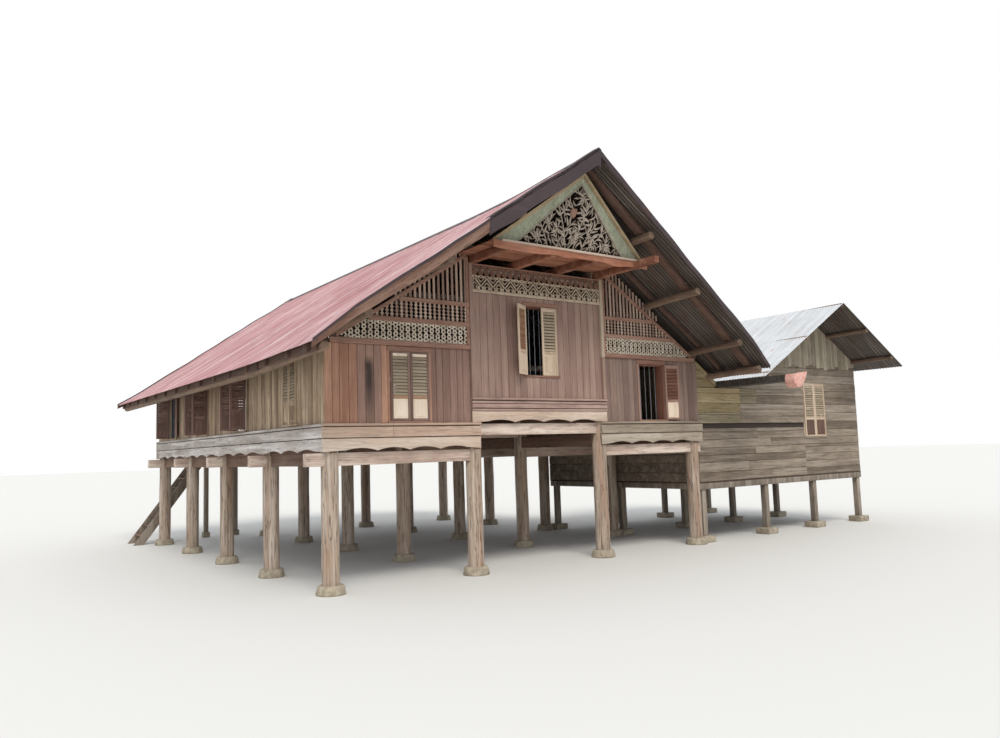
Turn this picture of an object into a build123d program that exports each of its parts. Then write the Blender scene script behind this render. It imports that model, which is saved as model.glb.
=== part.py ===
# Timber stilt house with an outward-leaning gable and a kitchen annex.
# Millimetres, +Z up, front of the house towards -Y. Heights are measured from the ground.
import os
from math import cos, radians, sin, sqrt

from build123d import *

# Lengths that cutting solids run past the faces they cut.
cut_margin = 10
far_margin = 1000

# Plan of the main house: four lines of posts across, five lines deep.
aisle_width = 2640
nave_width = 2920
bay_depth = 2514
bay_count = 4

# Stone pads and round posts.
pad_height = 140
pad_top_diameter = 400
pad_foot_diameter = 460
post_diameter = 270
upper_post_size = 150

# Floor beams.
tie_bottom = 1916
tie_height = 200
tie_width = 150
tie_reach_left = 400
tie_reach_right = 195
stringer_width = 90
nave_raise = 430
bearer_width = 120
joist_width = 80
joist_height = 160
joists_per_bay = 3
floor_thickness = 35

# Moulded skirt boards round the floor edge.
skirt_tie_gap = 14
scallop_board_height = 210
grooved_board_height = 180
skirt_cap_height = 40
skirt_back_offset = 140
scallop_board_thickness = 25
grooved_board_thickness = 40
skirt_cap_reach = 200
skirt_cap_back = 100
floor_step_below_cap = 20
front_scallops = 4
side_scallops = 3
scallop_rise = 60
scallop_flat = 330
aisle_skirt_overlap = 60

# Walls.
wall_face_offset = 130
wall_thickness = 25
aisle_wall_height = 1250
trim_width = 70
trim_depth = 45
nave_side_inset = 100
nave_log_gap = 204
carved_band_height = 510
carved_hole_width = 60
carved_hole_height = 300
carved_hole_pitch = 150

# Windows and the back doorway.
front_window_width = 720
front_window_height = 1090
front_window_sill = 50
left_window_offset = 30
right_window_offset = 90
nave_window_offset = 25
nave_window_sill = 420
nave_window_height = 1260
side_window_width = 600
side_window_height = 1040
side_window_sill = 50
leaf_thickness = 28
leaf_gap = 4
hinge_radius = 16
half_open_angle = 150
square_open_angle = 90
folded_back_angle = 170
doorway_width = 760
doorway_height = 1150
doorway_offset = 380

# Lattice under the aisle roof.
lattice_thickness = 28
lattice_foot_x = 120
lattice_foot_height = 120
lattice_head_inset = 180
lattice_rail = 60
lattice_foot_rail = 96
lattice_mid_height = 430
lattice_upper_height = 780
lattice_bar = 35
lattice_pitch = 110

# Main roof.
roof_pitch = 0.68
wall_log_gap = 69
eave_reach = 870
verge_reach = 1420
verge_lean = 440
sheet_thickness = 24
rafter_depth = 90
rafter_width = 60
rafter_count = 13
rafter_ridge_gap = 20
rafter_eave_gap = 60
verge_rafter_inset = 330
verge_rafter_width = 150
purlin_diameter = 140
eave_purlin_reach = 650
purlin_verge_gap = 60
seat_gap = 0.3
strut_size = 80
ridge_board_depth = 120
ridge_cap_leg = 230
ridge_cap_thickness = 8
bargeboard_depth = 210
bargeboard_thickness = 30
bargeboard_rise = 35
upper_tie_width = 100
upper_tie_height = 120

# Gable panel and its soffit.
bearer_beam_width = 110
bearer_beam_height = 130
long_bearer_reach = 1600
panel_reach = 1120
panel_lean_rate = 0.3
panel_half_width = 1730
panel_apex_gap = 75
panel_thickness = 40
panel_frame_width = 270
panel_base_rail = 90
panel_leaf_length = 190
panel_leaf_width = 74
panel_leaf_pitch_x = 150
panel_leaf_pitch_z = 150
panel_leaf_tilt = 35
soffit_thickness = 22
soffit_reach = 1180
fascia_thickness = 30
bearer_tail = 120

# Kitchen annex on the right-hand side.
annex_gap = 220
annex_width = 6180
annex_depth = 5050
annex_wall_thickness = 22
annex_upper_gap = 145
annex_post_size = 130
annex_pad_size = 360
annex_post_inset = 100
annex_left_post_inset = 140
annex_second_post_share = 0.372
annex_third_post_share = 0.676
annex_beam_bottom = 1110
annex_beam_height = 160
annex_beam_setback = 5
annex_floor_thickness = 30
annex_roof_pitch = 0.576
annex_ridge_share = 0.66
annex_eave_gap = 50
annex_eave_overlap = 70
annex_right_eave_reach = 350
annex_front_verge = 1150
annex_back_verge = 350
annex_sheet_thickness = 20
annex_purlin_diameter = 100
annex_purlin_ups = (180, 1650)
annex_right_purlin_ups = (440, 1500)
annex_window_setback = 1880
annex_window_width = 840
annex_window_sill = 910
annex_window_height = 1290
gutter_gap = 15
gutter_width = 335
gutter_drop = 160
gutter_depth = 130
gutter_wall = 8
gutter_front_reach = 1900
spout_length = 260
spout_flare = 45
roof_clearance = 10

# Back stair and landing.
landing_width = 900
landing_depth = 900
landing_thickness = 40
landing_post_size = 110
landing_pad_size = 180
stair_run = 1900
stair_width = 720
stair_string_thickness = 40
stair_string_depth = 200
stair_tread_count = 10
stair_tread_depth = 165
stair_tread_thickness = 32

# Worked-out lines and levels.
depth = bay_depth * bay_count
width = 2 * aisle_width + nave_width
left_line = 0
left_inner_line = aisle_width
right_inner_line = aisle_width + nave_width
right_line = width
ridge_x = width / 2
row_lines = [bay_depth * i for i in range(bay_count + 1)]
aisle_lines = (left_line, left_inner_line, right_inner_line, right_line)
tie_top = tie_bottom + tie_height
skirt_bottom = tie_top + skirt_tie_gap
skirt_seam = skirt_bottom + scallop_board_height
skirt_cap_bottom = skirt_seam + grooved_board_height
skirt_top = skirt_cap_bottom + skirt_cap_height
floor_top = skirt_top - floor_step_below_cap
floor_bottom = floor_top - floor_thickness
joist_bottom = floor_bottom - joist_height
aisle_wall_top = skirt_top + aisle_wall_height
nave_left = left_inner_line - nave_side_inset
nave_right = right_inner_line + nave_side_inset
nave_wall_bottom = skirt_top + nave_raise
left_window_centre = aisle_width / 2 + left_window_offset
right_window_centre = right_inner_line + aisle_width / 2 + right_window_offset
doorway_centre = aisle_width / 2 + doorway_offset
right_window_bays = (bay_count - 2, bay_count - 1)
front_face = -wall_face_offset
back_face = depth + wall_face_offset
slope_stretch = sqrt(1 + roof_pitch * roof_pitch)
sheet_drop = sheet_thickness * slope_stretch
rafter_drop = rafter_depth * slope_stretch
roof_half = ridge_x + eave_reach

# The roof lies on the logs, and the logs lie over the outer walls.
log_depth = sheet_drop + rafter_drop + (purlin_diameter / 2 + seat_gap) * slope_stretch
ridge_height = aisle_wall_top + wall_log_gap + purlin_diameter / 2 + log_depth + roof_pitch * ridge_x
eave_height = ridge_height - roof_pitch * roof_half
inner_log_bottom = ridge_height - roof_pitch * (ridge_x - left_inner_line) - log_depth - purlin_diameter / 2
bearer_top = inner_log_bottom - nave_log_gap
nave_wall_top = bearer_top - bearer_beam_height
nave_board_top = nave_wall_top - carved_band_height
panel_bottom = bearer_top + soffit_thickness
ridge_board_bottom = ridge_height - roof_pitch * rafter_ridge_gap - sheet_drop - ridge_board_depth
panel_height = ridge_board_bottom - panel_apex_gap - panel_bottom

# The annex starts beside the outer posts, and its roof meets the gutter under the main eave.
annex_left = right_line + annex_gap
annex_right = annex_left + annex_width
annex_upper_left = right_line + annex_upper_gap
annex_post_xs = (annex_left + annex_left_post_inset, annex_left + annex_width * annex_second_post_share,
                 annex_left + annex_width * annex_third_post_share, annex_right - annex_post_inset)
annex_window_centre = annex_right - annex_window_setback
gutter_left = right_line + eave_reach + gutter_gap
gutter_right = gutter_left + gutter_width
gutter_top = eave_height - gutter_drop
gutter_bottom = gutter_top - gutter_depth
annex_left_eave = gutter_right - annex_eave_overlap
annex_ridge_x = annex_left + annex_width * annex_ridge_share
annex_ridge_height = gutter_top + annex_eave_gap + annex_roof_pitch * (annex_ridge_x - annex_left_eave)
annex_stretch = sqrt(1 + annex_roof_pitch * annex_roof_pitch)
annex_sheet_drop = annex_sheet_thickness * annex_stretch
annex_floor_level = annex_beam_bottom + annex_beam_height
landing_left = doorway_centre - landing_width / 2
landing_top = skirt_top
landing_front = depth + skirt_cap_reach

# The frame's origin is the middle of the whole plan, on the ground.
plan_left = ridge_x - roof_half
plan_right = annex_right + annex_right_eave_reach
plan_front = -gutter_front_reach - spout_length
verge_tip_lean = verge_lean * (1 + bargeboard_rise / (roof_pitch * roof_half))
plan_back = depth + verge_reach + verge_tip_lean + bargeboard_thickness
origin_x = (plan_left + plan_right) / 2
origin_y = (plan_front + plan_back) / 2


def block(x0, x1, y0, y1, z0, z1):
    """Box between two corners."""
    middle = Pos((x0 + x1) / 2, (y0 + y1) / 2, (z0 + z1) / 2)
    return middle * Box(x1 - x0, y1 - y0, z1 - z0)


def prism_along_y(outline, y0, y1):
    """Outline of (x, z) points drawn out from y0 to y1."""
    points = [(x, y0, z) for x, z in outline]
    face = make_face(Polyline(points, close=True))
    return extrude(face, amount=y1 - y0, dir=(0, 1, 0))


def prism_along_x(outline, x0, x1):
    """Outline of (y, z) points drawn out from x0 to x1."""
    points = [(x0, y, z) for y, z in outline]
    face = make_face(Polyline(points, close=True))
    return extrude(face, amount=x1 - x0, dir=(1, 0, 0))


def log_along_y(x, z, diameter, y0, y1):
    """Round log with its axis along Y."""
    turned = Pos(x, (y0 + y1) / 2, z) * Rot(90, 0, 0)
    return turned * Cylinder(diameter / 2, y1 - y0)


def upright_log(x, y, z0, z1, diameter):
    """Round post."""
    return Pos(x, y, (z0 + z1) / 2) * Cylinder(diameter / 2, z1 - z0)


def mirrored_y(shape):
    """The same piece at the back of the house."""
    return mirror(shape, about=Plane.XZ.offset(-depth / 2))


def mirrored_x(shape):
    """The same piece on the other side of the ridge."""
    return mirror(shape, about=Plane.YZ.offset(ridge_x))


nodes = {}


def keep(name, pieces):
    """File the solids of a node, moved to the shared origin."""
    placed = []
    for piece in pieces:
        for solid in piece.solids():
            placed.append(Pos(-origin_x, -origin_y, 0) * solid)
    nodes[name] = placed


# Beams that pass through the posts.
def aisle_ties():
    """Low cross ties of the aisles."""
    ties = []
    half = tie_width / 2
    for y in row_lines:
        ties.append(block(-tie_reach_left, left_inner_line, y - half, y + half, tie_bottom, tie_top))
        ties.append(block(right_inner_line, right_line + tie_reach_right, y - half, y + half,
                          tie_bottom, tie_top))
    return ties


def nave_ties():
    """Cross ties of the raised nave, between the inner posts."""
    half = tie_width / 2
    end = upper_post_size / 2
    bottom = tie_bottom + nave_raise
    return [block(left_inner_line - end, right_inner_line + end, y - half, y + half,
                  bottom, bottom + tie_height) for y in row_lines]


def upper_ties():
    """Ties at the top of the aisle walls and of the nave wall."""
    ties = []
    half = upper_tie_width / 2
    face = upper_post_size / 2
    for y in row_lines:
        for x0, x1 in ((left_line, left_inner_line), (right_inner_line, right_line)):
            ties.append(block(x0 + face, x1 - face, y - half, y + half,
                              aisle_wall_top, aisle_wall_top + upper_tie_height))
        ties.append(block(left_inner_line + face, right_inner_line - face, y - half, y + half,
                          nave_wall_top - upper_tie_height, nave_wall_top))
    return ties


def stringers():
    """Low beams between the outer posts, from tie to tie."""
    beams = []
    half = stringer_width / 2
    for x in (left_line, right_line):
        for y0, y1 in zip(row_lines, row_lines[1:]):
            beams.append(block(x - half, x + half, y0 + tie_width / 2, y1 - tie_width / 2,
                               tie_bottom, tie_top))
    return beams


def floor_bearers():
    """Long beams on the ties, under the joists."""
    beams = []
    half = bearer_width / 2
    low_reach = skirt_back_offset
    high_reach = skirt_cap_back
    for x in aisle_lines:
        beams.append(block(x - half, x + half, -low_reach, depth + low_reach, tie_top, joist_bottom))
    for x in (left_inner_line, right_inner_line):
        beams.append(block(x - half, x + half, -high_reach, depth + high_reach,
                           tie_top + nave_raise, joist_bottom + nave_raise))
    return beams


def gable_beams():
    """Beams that carry the gable panels: two along the inner posts, short ones between."""
    half = bearer_beam_width / 2
    beams = []
    for x in (left_inner_line, right_inner_line):
        beams.append(block(x - half, x + half, -long_bearer_reach, depth + long_bearer_reach,
                           nave_wall_top, bearer_top))
    for share in (1, 2):
        x = left_inner_line + nave_width * share / 3
        short = block(x - half, x + half, -soffit_reach, bay_depth + bearer_tail,
                      nave_wall_top, bearer_top)
        beams.append(short)
        beams.append(mirrored_y(short))
    return beams


# Roof planes. "out" is the level distance from the ridge line.
def roof_top(out):
    """Height of the top of the roofing."""
    return ridge_height - roof_pitch * out


def under_rafters(out):
    """Height of the underside of the rafters."""
    return roof_top(out) - sheet_drop - rafter_drop


def roof_piece(outline, drop, thickness):
    """Left-hand roof member from (out, y) points, 'drop' below the roof top."""
    points = [(ridge_x - out, y, roof_top(out) - drop) for out, y in outline]
    face = make_face(Polyline(points, close=True))
    return extrude(face, amount=thickness, dir=(0, 0, -1))


def verge_y(height):
    """Front face of the leaning verge at a height."""
    share = (height - eave_height) / (ridge_height - eave_height)
    return -verge_reach - verge_lean * share


def verge_envelope():
    """Volume between the two leaning verges."""
    low = eave_height - far_margin
    high = ridge_height + far_margin
    outline = [(verge_y(low), low), (verge_y(high), high),
               (depth - verge_y(high), high), (depth - verge_y(low), low)]
    return prism_along_x(outline, plan_left - cut_margin, right_line + eave_reach + cut_margin)


envelope = verge_envelope()


def left_sheets():
    """Left roof slope."""
    outline = [(0, -verge_reach - verge_lean), (roof_half, -verge_reach),
               (roof_half, depth + verge_reach), (0, depth + verge_reach + verge_lean)]
    return roof_piece(outline, 0, sheet_drop) & envelope


def left_rafters():
    """Common rafters and the two rafters along the verges."""
    pieces = []
    half = rafter_width / 2
    top_out = rafter_ridge_gap
    low_out = roof_half - rafter_eave_gap
    pitch = (depth + 2 * verge_rafter_inset) / (rafter_count - 1)
    for i in range(rafter_count):
        y = -verge_rafter_inset + pitch * i
        outline = [(top_out, y - half), (low_out, y - half), (low_out, y + half), (top_out, y + half)]
        pieces.append(roof_piece(outline, sheet_drop, rafter_drop))
    lean_top = verge_lean * (1 - top_out / roof_half)
    lean_low = verge_lean * (1 - low_out / roof_half)
    outer_top = -verge_reach - lean_top + verge_rafter_inset
    outer_low = -verge_reach - lean_low + verge_rafter_inset
    front = roof_piece([(top_out, outer_top), (low_out, outer_low),
                        (low_out, outer_low + verge_rafter_width),
                        (top_out, outer_top + verge_rafter_width)], sheet_drop, rafter_drop)
    pieces.append(front)
    pieces.append(mirrored_y(front))
    return pieces


def purlin_height(out, diameter):
    """Axis height of a log seated under the rafters."""
    return under_rafters(out) - (diameter / 2 + seat_gap) * slope_stretch


def left_purlin_outs():
    """Distances of the left logs from the ridge: inner post, mid-aisle, outer post, eave."""
    return (ridge_x - left_inner_line, ridge_x - aisle_width / 2, ridge_x, ridge_x + eave_purlin_reach)


def purlin_at(out):
    """One left log, cut off behind the leaning verge."""
    z = purlin_height(out, purlin_diameter)
    front = verge_y(z) + purlin_verge_gap
    return log_along_y(ridge_x - out, z, purlin_diameter, front, depth - front)


def ridge_board():
    """Board between the heads of the rafters."""
    top = roof_top(rafter_ridge_gap) - sheet_drop
    board = block(ridge_x - rafter_ridge_gap, ridge_x + rafter_ridge_gap,
                  -verge_reach - verge_lean, depth + verge_reach + verge_lean,
                  top - ridge_board_depth, top)
    return board & envelope


def ridge_capping():
    """Folded capping over the ridge."""
    rise = ridge_cap_thickness * slope_stretch
    low = roof_top(ridge_cap_leg)
    outline = [(ridge_x - ridge_cap_leg, low), (ridge_x, ridge_height), (ridge_x + ridge_cap_leg, low),
               (ridge_x + ridge_cap_leg, low + rise), (ridge_x, ridge_height + rise),
               (ridge_x - ridge_cap_leg, low + rise)]
    reach = verge_reach + verge_lean
    return prism_along_y(outline, -reach, depth + reach) & envelope


def left_bargeboard():
    """Front left verge board with the metal flashing above it, in the leaning plane."""
    low_x = ridge_x - roof_half
    points = [(low_x, eave_height + bargeboard_rise), (ridge_x, ridge_height + bargeboard_rise),
              (ridge_x, ridge_height - bargeboard_depth), (low_x, eave_height - bargeboard_depth)]
    placed = [(x, verge_y(z), z) for x, z in points]
    face = make_face(Polyline(placed, close=True))
    return extrude(face, amount=bargeboard_thickness, dir=(0, -1, 0))


# Posts.
def post(x, y, round_top, square_top):
    """Round post on its pad with a squared upper part inside the house."""
    half = upper_post_size / 2
    shaft = upright_log(x, y, pad_height, round_top, post_diameter)
    head = block(x - half, x + half, y - half, y + half, round_top, square_top)
    return shaft + head


outer_round_top = floor_bottom
inner_round_top = joist_bottom + nave_raise
outer_post_top = purlin_height(ridge_x, purlin_diameter) - purlin_diameter / 2 - seat_gap
inner_post_top = (purlin_height(ridge_x - left_inner_line, purlin_diameter)
                  - purlin_diameter / 2 - seat_gap)

nave_tie_list = nave_ties()
tie_list = aisle_ties() + nave_tie_list + upper_ties()
long_list = stringers() + floor_bearers()
gable_beam_list = gable_beams()


def post_row(x):
    """The five posts of one line, mortised for the beams."""
    inner = x in (left_inner_line, right_inner_line)
    round_top = inner_round_top if inner else outer_round_top
    square_top = inner_post_top if inner else outer_post_top
    row = []
    for y in row_lines:
        piece = post(x, y, round_top, square_top)
        for beam in tie_list + long_list + gable_beam_list:
            if beam.bounding_box().min.Z < square_top:
                piece = piece - beam
        row.append(piece)
    return row


def pads():
    """Stone pads under every post; square blocks under the annex and the landing."""
    stones = []
    for x in aisle_lines:
        for y in row_lines:
            stones.append(Pos(x, y, pad_height / 2)
                          * Cone(pad_foot_diameter / 2, pad_top_diameter / 2, pad_height))
    for places, size in ((annex_post_places(), annex_pad_size), (landing_post_places(), landing_pad_size)):
        half = size / 2
        for x, y in places:
            stones.append(block(x - half, x + half, y - half, y + half, 0, pad_height))
    return stones


# Floors.
def joists():
    """Floor joists between the post lines."""
    half = joist_width / 2
    side = skirt_back_offset
    inner = bearer_width / 2
    spans = ((-side, left_inner_line + inner, 0),
             (left_inner_line - inner, right_inner_line + inner, nave_raise),
             (right_inner_line - inner, right_line + side, 0))
    step = bay_depth / (joists_per_bay + 1)
    pieces = []
    for x0, x1, lift in spans:
        for bay in range(bay_count):
            for i in range(1, joists_per_bay + 1):
                y = row_lines[bay] + step * i
                pieces.append(block(x0, x1, y - half, y + half, joist_bottom + lift, floor_bottom + lift))
    return pieces


def floor_slab(x0, x1, lift, through):
    """Boarded floor, cut round what comes up through it."""
    slab = block(x0, x1, -skirt_cap_back, depth + skirt_cap_back, floor_bottom + lift, floor_top + lift)
    for piece in through:
        slab = slab - piece
    return slab


# Skirts. Profiles are (outward offset, height) from a post line.
def skirt_profile(lift):
    """Cross-section of the skirt: scalloped board, grooved board, cap."""
    back = skirt_back_offset
    return [(back, skirt_bottom + lift), (back + scallop_board_thickness, skirt_bottom + lift),
            (back + scallop_board_thickness, skirt_seam + lift),
            (back + grooved_board_thickness, skirt_seam + lift),
            (back + grooved_board_thickness, skirt_cap_bottom + lift),
            (skirt_cap_reach, skirt_cap_bottom + lift), (skirt_cap_reach, skirt_top + lift),
            (skirt_cap_back, skirt_top + lift), (skirt_cap_back, skirt_cap_bottom + lift),
            (back, skirt_cap_bottom + lift)]


def scallop_radius(chord):
    """Radius of an arc with the scallop's rise over a chord."""
    return (chord * chord / 4 + scallop_rise * scallop_rise) / (2 * scallop_rise)


def scallops(start, end, count):
    """Middle and chord of each arc between two posts."""
    chord = (end - start - scallop_flat) / count
    first = (start + end) / 2 - chord * (count - 1) / 2
    return [(first + chord * i, chord) for i in range(count)]


def front_skirt(x0, x1, lift, arcs):
    """Front skirt between x0 and x1 with its scallops."""
    outline = [(-out, z) for out, z in skirt_profile(lift)]
    piece = prism_along_x(outline, x0, x1)
    for middle, chord in arcs:
        radius = scallop_radius(chord)
        z = skirt_bottom + lift + scallop_rise - radius
        piece = piece - log_along_y(middle, z, 2 * radius, -skirt_cap_reach - cut_margin, 0)
    return piece


def left_side_skirt():
    """Side skirt between the front and back skirts."""
    outline = [(-out, z) for out, z in skirt_profile(0)]
    piece = prism_along_y(outline, -skirt_back_offset, depth + skirt_back_offset)
    for y0, y1 in ((-skirt_back_offset, -skirt_cap_back),
                   (depth + skirt_cap_back, depth + skirt_back_offset)):
        piece = piece - block(-skirt_cap_reach - cut_margin, 0, y0, y1, skirt_cap_bottom,
                              skirt_top + cut_margin)
    for y0, y1 in zip(row_lines, row_lines[1:]):
        for middle, chord in scallops(y0, y1, side_scallops):
            radius = scallop_radius(chord)
            turned = Pos(0, middle, skirt_bottom + scallop_rise - radius) * Rot(0, 90, 0)
            piece = piece - turned * Cylinder(radius, 2 * (skirt_cap_reach + cut_margin))
    return piece


# Walls.
def wall_with_openings(x0, x1, z0, z1, openings):
    """Front wall slab, with (centre, width, bottom, top) openings cut through."""
    slab = block(x0, x1, front_face, front_face + wall_thickness, z0, z1)
    for centre, opening_width, bottom, top in openings:
        slab = slab - block(centre - opening_width / 2, centre + opening_width / 2,
                            front_face - cut_margin, front_face + wall_thickness + cut_margin,
                            bottom, top)
    return slab


def aisle_opening(centre):
    """Window of a front aisle wall."""
    bottom = skirt_top + front_window_sill
    return (centre, front_window_width, bottom, bottom + front_window_height)


def nave_opening():
    """Window of the nave wall."""
    bottom = nave_wall_bottom + nave_window_sill
    return (ridge_x + nave_window_offset, front_window_width, bottom, bottom + nave_window_height)


def doorway():
    """Low doorway at the head of the back stair."""
    return (doorway_centre, doorway_width, skirt_top - cut_margin, skirt_top + doorway_height)


def nave_wall(openings):
    """Raised middle wall with a trim board up each side."""
    wall = wall_with_openings(nave_left, nave_right, nave_wall_bottom, nave_board_top, openings)
    for x0 in (nave_left, nave_right - trim_width):
        wall = wall + block(x0, x0 + trim_width, front_face - trim_depth + wall_thickness,
                            front_face + wall_thickness, nave_wall_bottom, nave_wall_top)
    return wall


def side_wall(bays):
    """Left side wall with a window in each given bay."""
    slab = block(-wall_face_offset, -wall_face_offset + wall_thickness,
                 front_face + wall_thickness, back_face - wall_thickness, skirt_top, aisle_wall_top)
    for bay in bays:
        y = row_lines[bay] + bay_depth / 2
        bottom = skirt_top + side_window_sill
        slab = slab - block(-wall_face_offset - cut_margin, -wall_face_offset + wall_thickness + cut_margin,
                            y - side_window_width / 2, y + side_window_width / 2,
                            bottom, bottom + side_window_height)
    return slab


def lattice_region():
    """Outline of the left lattice, sloping with the roof."""
    foot = aisle_wall_top + lattice_foot_height
    head_x = nave_left - lattice_head_inset
    return [(lattice_foot_x, aisle_wall_top), (nave_left, aisle_wall_top), (nave_left, nave_wall_top),
            (head_x, nave_wall_top), (lattice_foot_x, foot)]


def inset_region():
    """The same outline drawn in by the rail width, for the openings of the lattice."""
    rim = lattice_rail
    foot = aisle_wall_top + lattice_foot_height
    head_x = nave_left - lattice_head_inset
    rate = (nave_wall_top - foot) / (head_x - lattice_foot_x)
    drop = rim * sqrt(1 + rate * rate)
    right = nave_left - rim
    bottom = aisle_wall_top + lattice_foot_rail
    top = nave_wall_top - rim
    low_x = lattice_foot_x + (bottom + drop - foot) / rate
    top_x = lattice_foot_x + (top + drop - foot) / rate
    return [(low_x, bottom), (right, bottom), (right, top), (top_x, top)]


def left_lattice():
    """Lattice of rails and upright bars under the aisle roof."""
    y0 = front_face
    y1 = front_face + lattice_thickness
    region = prism_along_y(lattice_region(), y0, y1)
    frame = region - prism_along_y(inset_region(), y0 - cut_margin, y1 + cut_margin)
    bars = frame
    for level in (lattice_mid_height, lattice_upper_height):
        z = aisle_wall_top + level
        bars = bars + (region & block(lattice_foot_x, nave_left, y0, y1, z - lattice_rail / 2,
                                      z + lattice_rail / 2))
    count = int((nave_left - lattice_foot_x) / lattice_pitch)
    for i in range(1, count):
        x = nave_left - lattice_pitch * i
        bars = bars + (region & block(x - lattice_bar / 2, x + lattice_bar / 2, y0, y1,
                                      aisle_wall_top, nave_wall_top))
    return bars


def carved_band():
    """Pierced band over the nave wall: a row of pointed holes."""
    band = block(nave_left + trim_width, nave_right - trim_width, front_face,
                 front_face + wall_thickness, nave_board_top, nave_wall_top)
    middle = (nave_board_top + nave_wall_top) / 2
    half_w = carved_hole_width / 2
    half_h = carved_hole_height / 2
    count = int((nave_width - 2 * trim_width) / carved_hole_pitch / 2)
    for i in range(-count, count + 1):
        x = ridge_x + carved_hole_pitch * i
        lozenge = [(x - half_w, middle), (x, middle + half_h), (x + half_w, middle), (x, middle - half_h)]
        band = band - prism_along_y(lozenge, front_face - cut_margin,
                                    front_face + wall_thickness + cut_margin)
    return band


# Gable panel.
def panel_y(z):
    """Outer face of the leaning gable panel."""
    return -panel_reach - panel_lean_rate * (z - panel_bottom)


def leaning_prism(outline, y_shift, thickness):
    """Outline of (x, z) points laid in the leaning plane and drawn inwards."""
    points = [(x, panel_y(z) + y_shift, z) for x, z in outline]
    face = make_face(Polyline(points, close=True))
    return extrude(face, amount=thickness, dir=(0, 1, 0))


def leaf_outline(x, z, tilt):
    """Pointed leaf with four sides, tilted from the upright."""
    long_half = panel_leaf_length / 2
    wide_half = panel_leaf_width / 2
    corners = ((0, long_half), (wide_half, 0), (0, -long_half), (-wide_half, 0))
    turn = radians(tilt)
    return [(x + a * cos(turn) - b * sin(turn), z + a * sin(turn) + b * cos(turn)) for a, b in corners]


def gable_panel():
    """Triangular panel with a wide frame and leaf-shaped holes."""
    outline = [(ridge_x - panel_half_width, panel_bottom), (ridge_x + panel_half_width, panel_bottom),
               (ridge_x, panel_bottom + panel_height)]
    panel = leaning_prism(outline, 0, panel_thickness)
    rate = panel_height / panel_half_width
    reach = panel_leaf_length / 2
    frame_drop = panel_frame_width * sqrt(1 + rate * rate)
    rows = int(panel_height / panel_leaf_pitch_z)
    for row in range(rows):
        z = panel_bottom + panel_base_rail + reach + panel_leaf_pitch_z * row
        room = (panel_height - (z - panel_bottom) - frame_drop - reach) / rate
        if room < 0:
            continue
        for i in range(-int(room / panel_leaf_pitch_x), int(room / panel_leaf_pitch_x) + 1):
            tilt = panel_leaf_tilt if (i + row) % 2 else -panel_leaf_tilt
            hole = leaf_outline(ridge_x + panel_leaf_pitch_x * i, z, tilt)
            panel = panel - leaning_prism(hole, -cut_margin, panel_thickness + 2 * cut_margin)
    notch = purlin_diameter + 2 * seat_gap
    for side in (-1, 1):
        out = ridge_x - left_inner_line
        panel = panel - log_along_y(ridge_x + side * out, purlin_height(out, purlin_diameter), notch,
                                    -2 * panel_reach, 0)
    return panel


def gable_soffit():
    """Boards over the bearers with a fascia across their ends."""
    reach = panel_half_width
    boards = block(ridge_x - reach, ridge_x + reach, -soffit_reach, front_face + wall_thickness,
                   bearer_top, bearer_top + soffit_thickness)
    fascia = block(ridge_x - reach, ridge_x + reach, -soffit_reach - fascia_thickness, -soffit_reach,
                   nave_wall_top, bearer_top + soffit_thickness)
    soffit = boards + fascia
    half = bearer_beam_width / 2
    for x in (left_inner_line, right_inner_line):
        soffit = soffit - block(x - half, x + half, -long_bearer_reach, 0,
                                nave_wall_top - cut_margin, bearer_top)
    return soffit


# Shutter leaves. A leaf turns about a barrel that bears on the wall face.
def leaf(width_of_leaf, bottom, height, angle, side):
    """Leaf hinged at the origin on a wall facing -Y. side +1 closes towards +X."""
    middle_y = -hinge_radius
    ends = sorted((0, side * width_of_leaf))
    body = block(ends[0], ends[1], middle_y - leaf_thickness / 2, middle_y + leaf_thickness / 2,
                 bottom, bottom + height)
    barrel = Pos(0, middle_y, bottom + height / 2) * Cylinder(hinge_radius, height)
    joined = body + barrel
    about = Axis((0, middle_y, 0), (0, 0, 1))
    return joined.rotate(about, -side * angle)


def shutter_pair(centre, opening_width, bottom, height, left_angle, right_angle):
    """Two leaves on a wall through the X axis, facing -Y."""
    leaf_width = (opening_width - leaf_gap) / 2
    left = Pos(centre - opening_width / 2, 0, 0) * leaf(leaf_width, bottom, height, left_angle, 1)
    right = Pos(centre + opening_width / 2, 0, 0) * leaf(leaf_width, bottom, height, right_angle, -1)
    return [left, right]


def on_front(pieces):
    """Set leaves on the outer face of the front wall."""
    return [Pos(0, front_face, 0) * piece for piece in pieces]


def front_leaves():
    """Closed pair, half-open pair and a single open leaf."""
    low = skirt_top + front_window_sill
    high = nave_wall_bottom + nave_window_sill
    pieces = shutter_pair(left_window_centre, front_window_width, low, front_window_height, 0, 0)
    pieces += shutter_pair(ridge_x + nave_window_offset, front_window_width, high, nave_window_height,
                            half_open_angle, 0)
    pieces += shutter_pair(right_window_centre, front_window_width, low, front_window_height,
                            0, folded_back_angle)[1:]
    return on_front(pieces)


def back_leaves():
    """Closed pairs on the back walls."""
    low = skirt_top + front_window_sill
    high = nave_wall_bottom + nave_window_sill
    pieces = shutter_pair(width - left_window_centre, front_window_width, low, front_window_height, 0, 0)
    pieces += shutter_pair(ridge_x + nave_window_offset, front_window_width, high, nave_window_height, 0, 0)
    return [mirrored_y(piece) for piece in on_front(pieces)]


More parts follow.
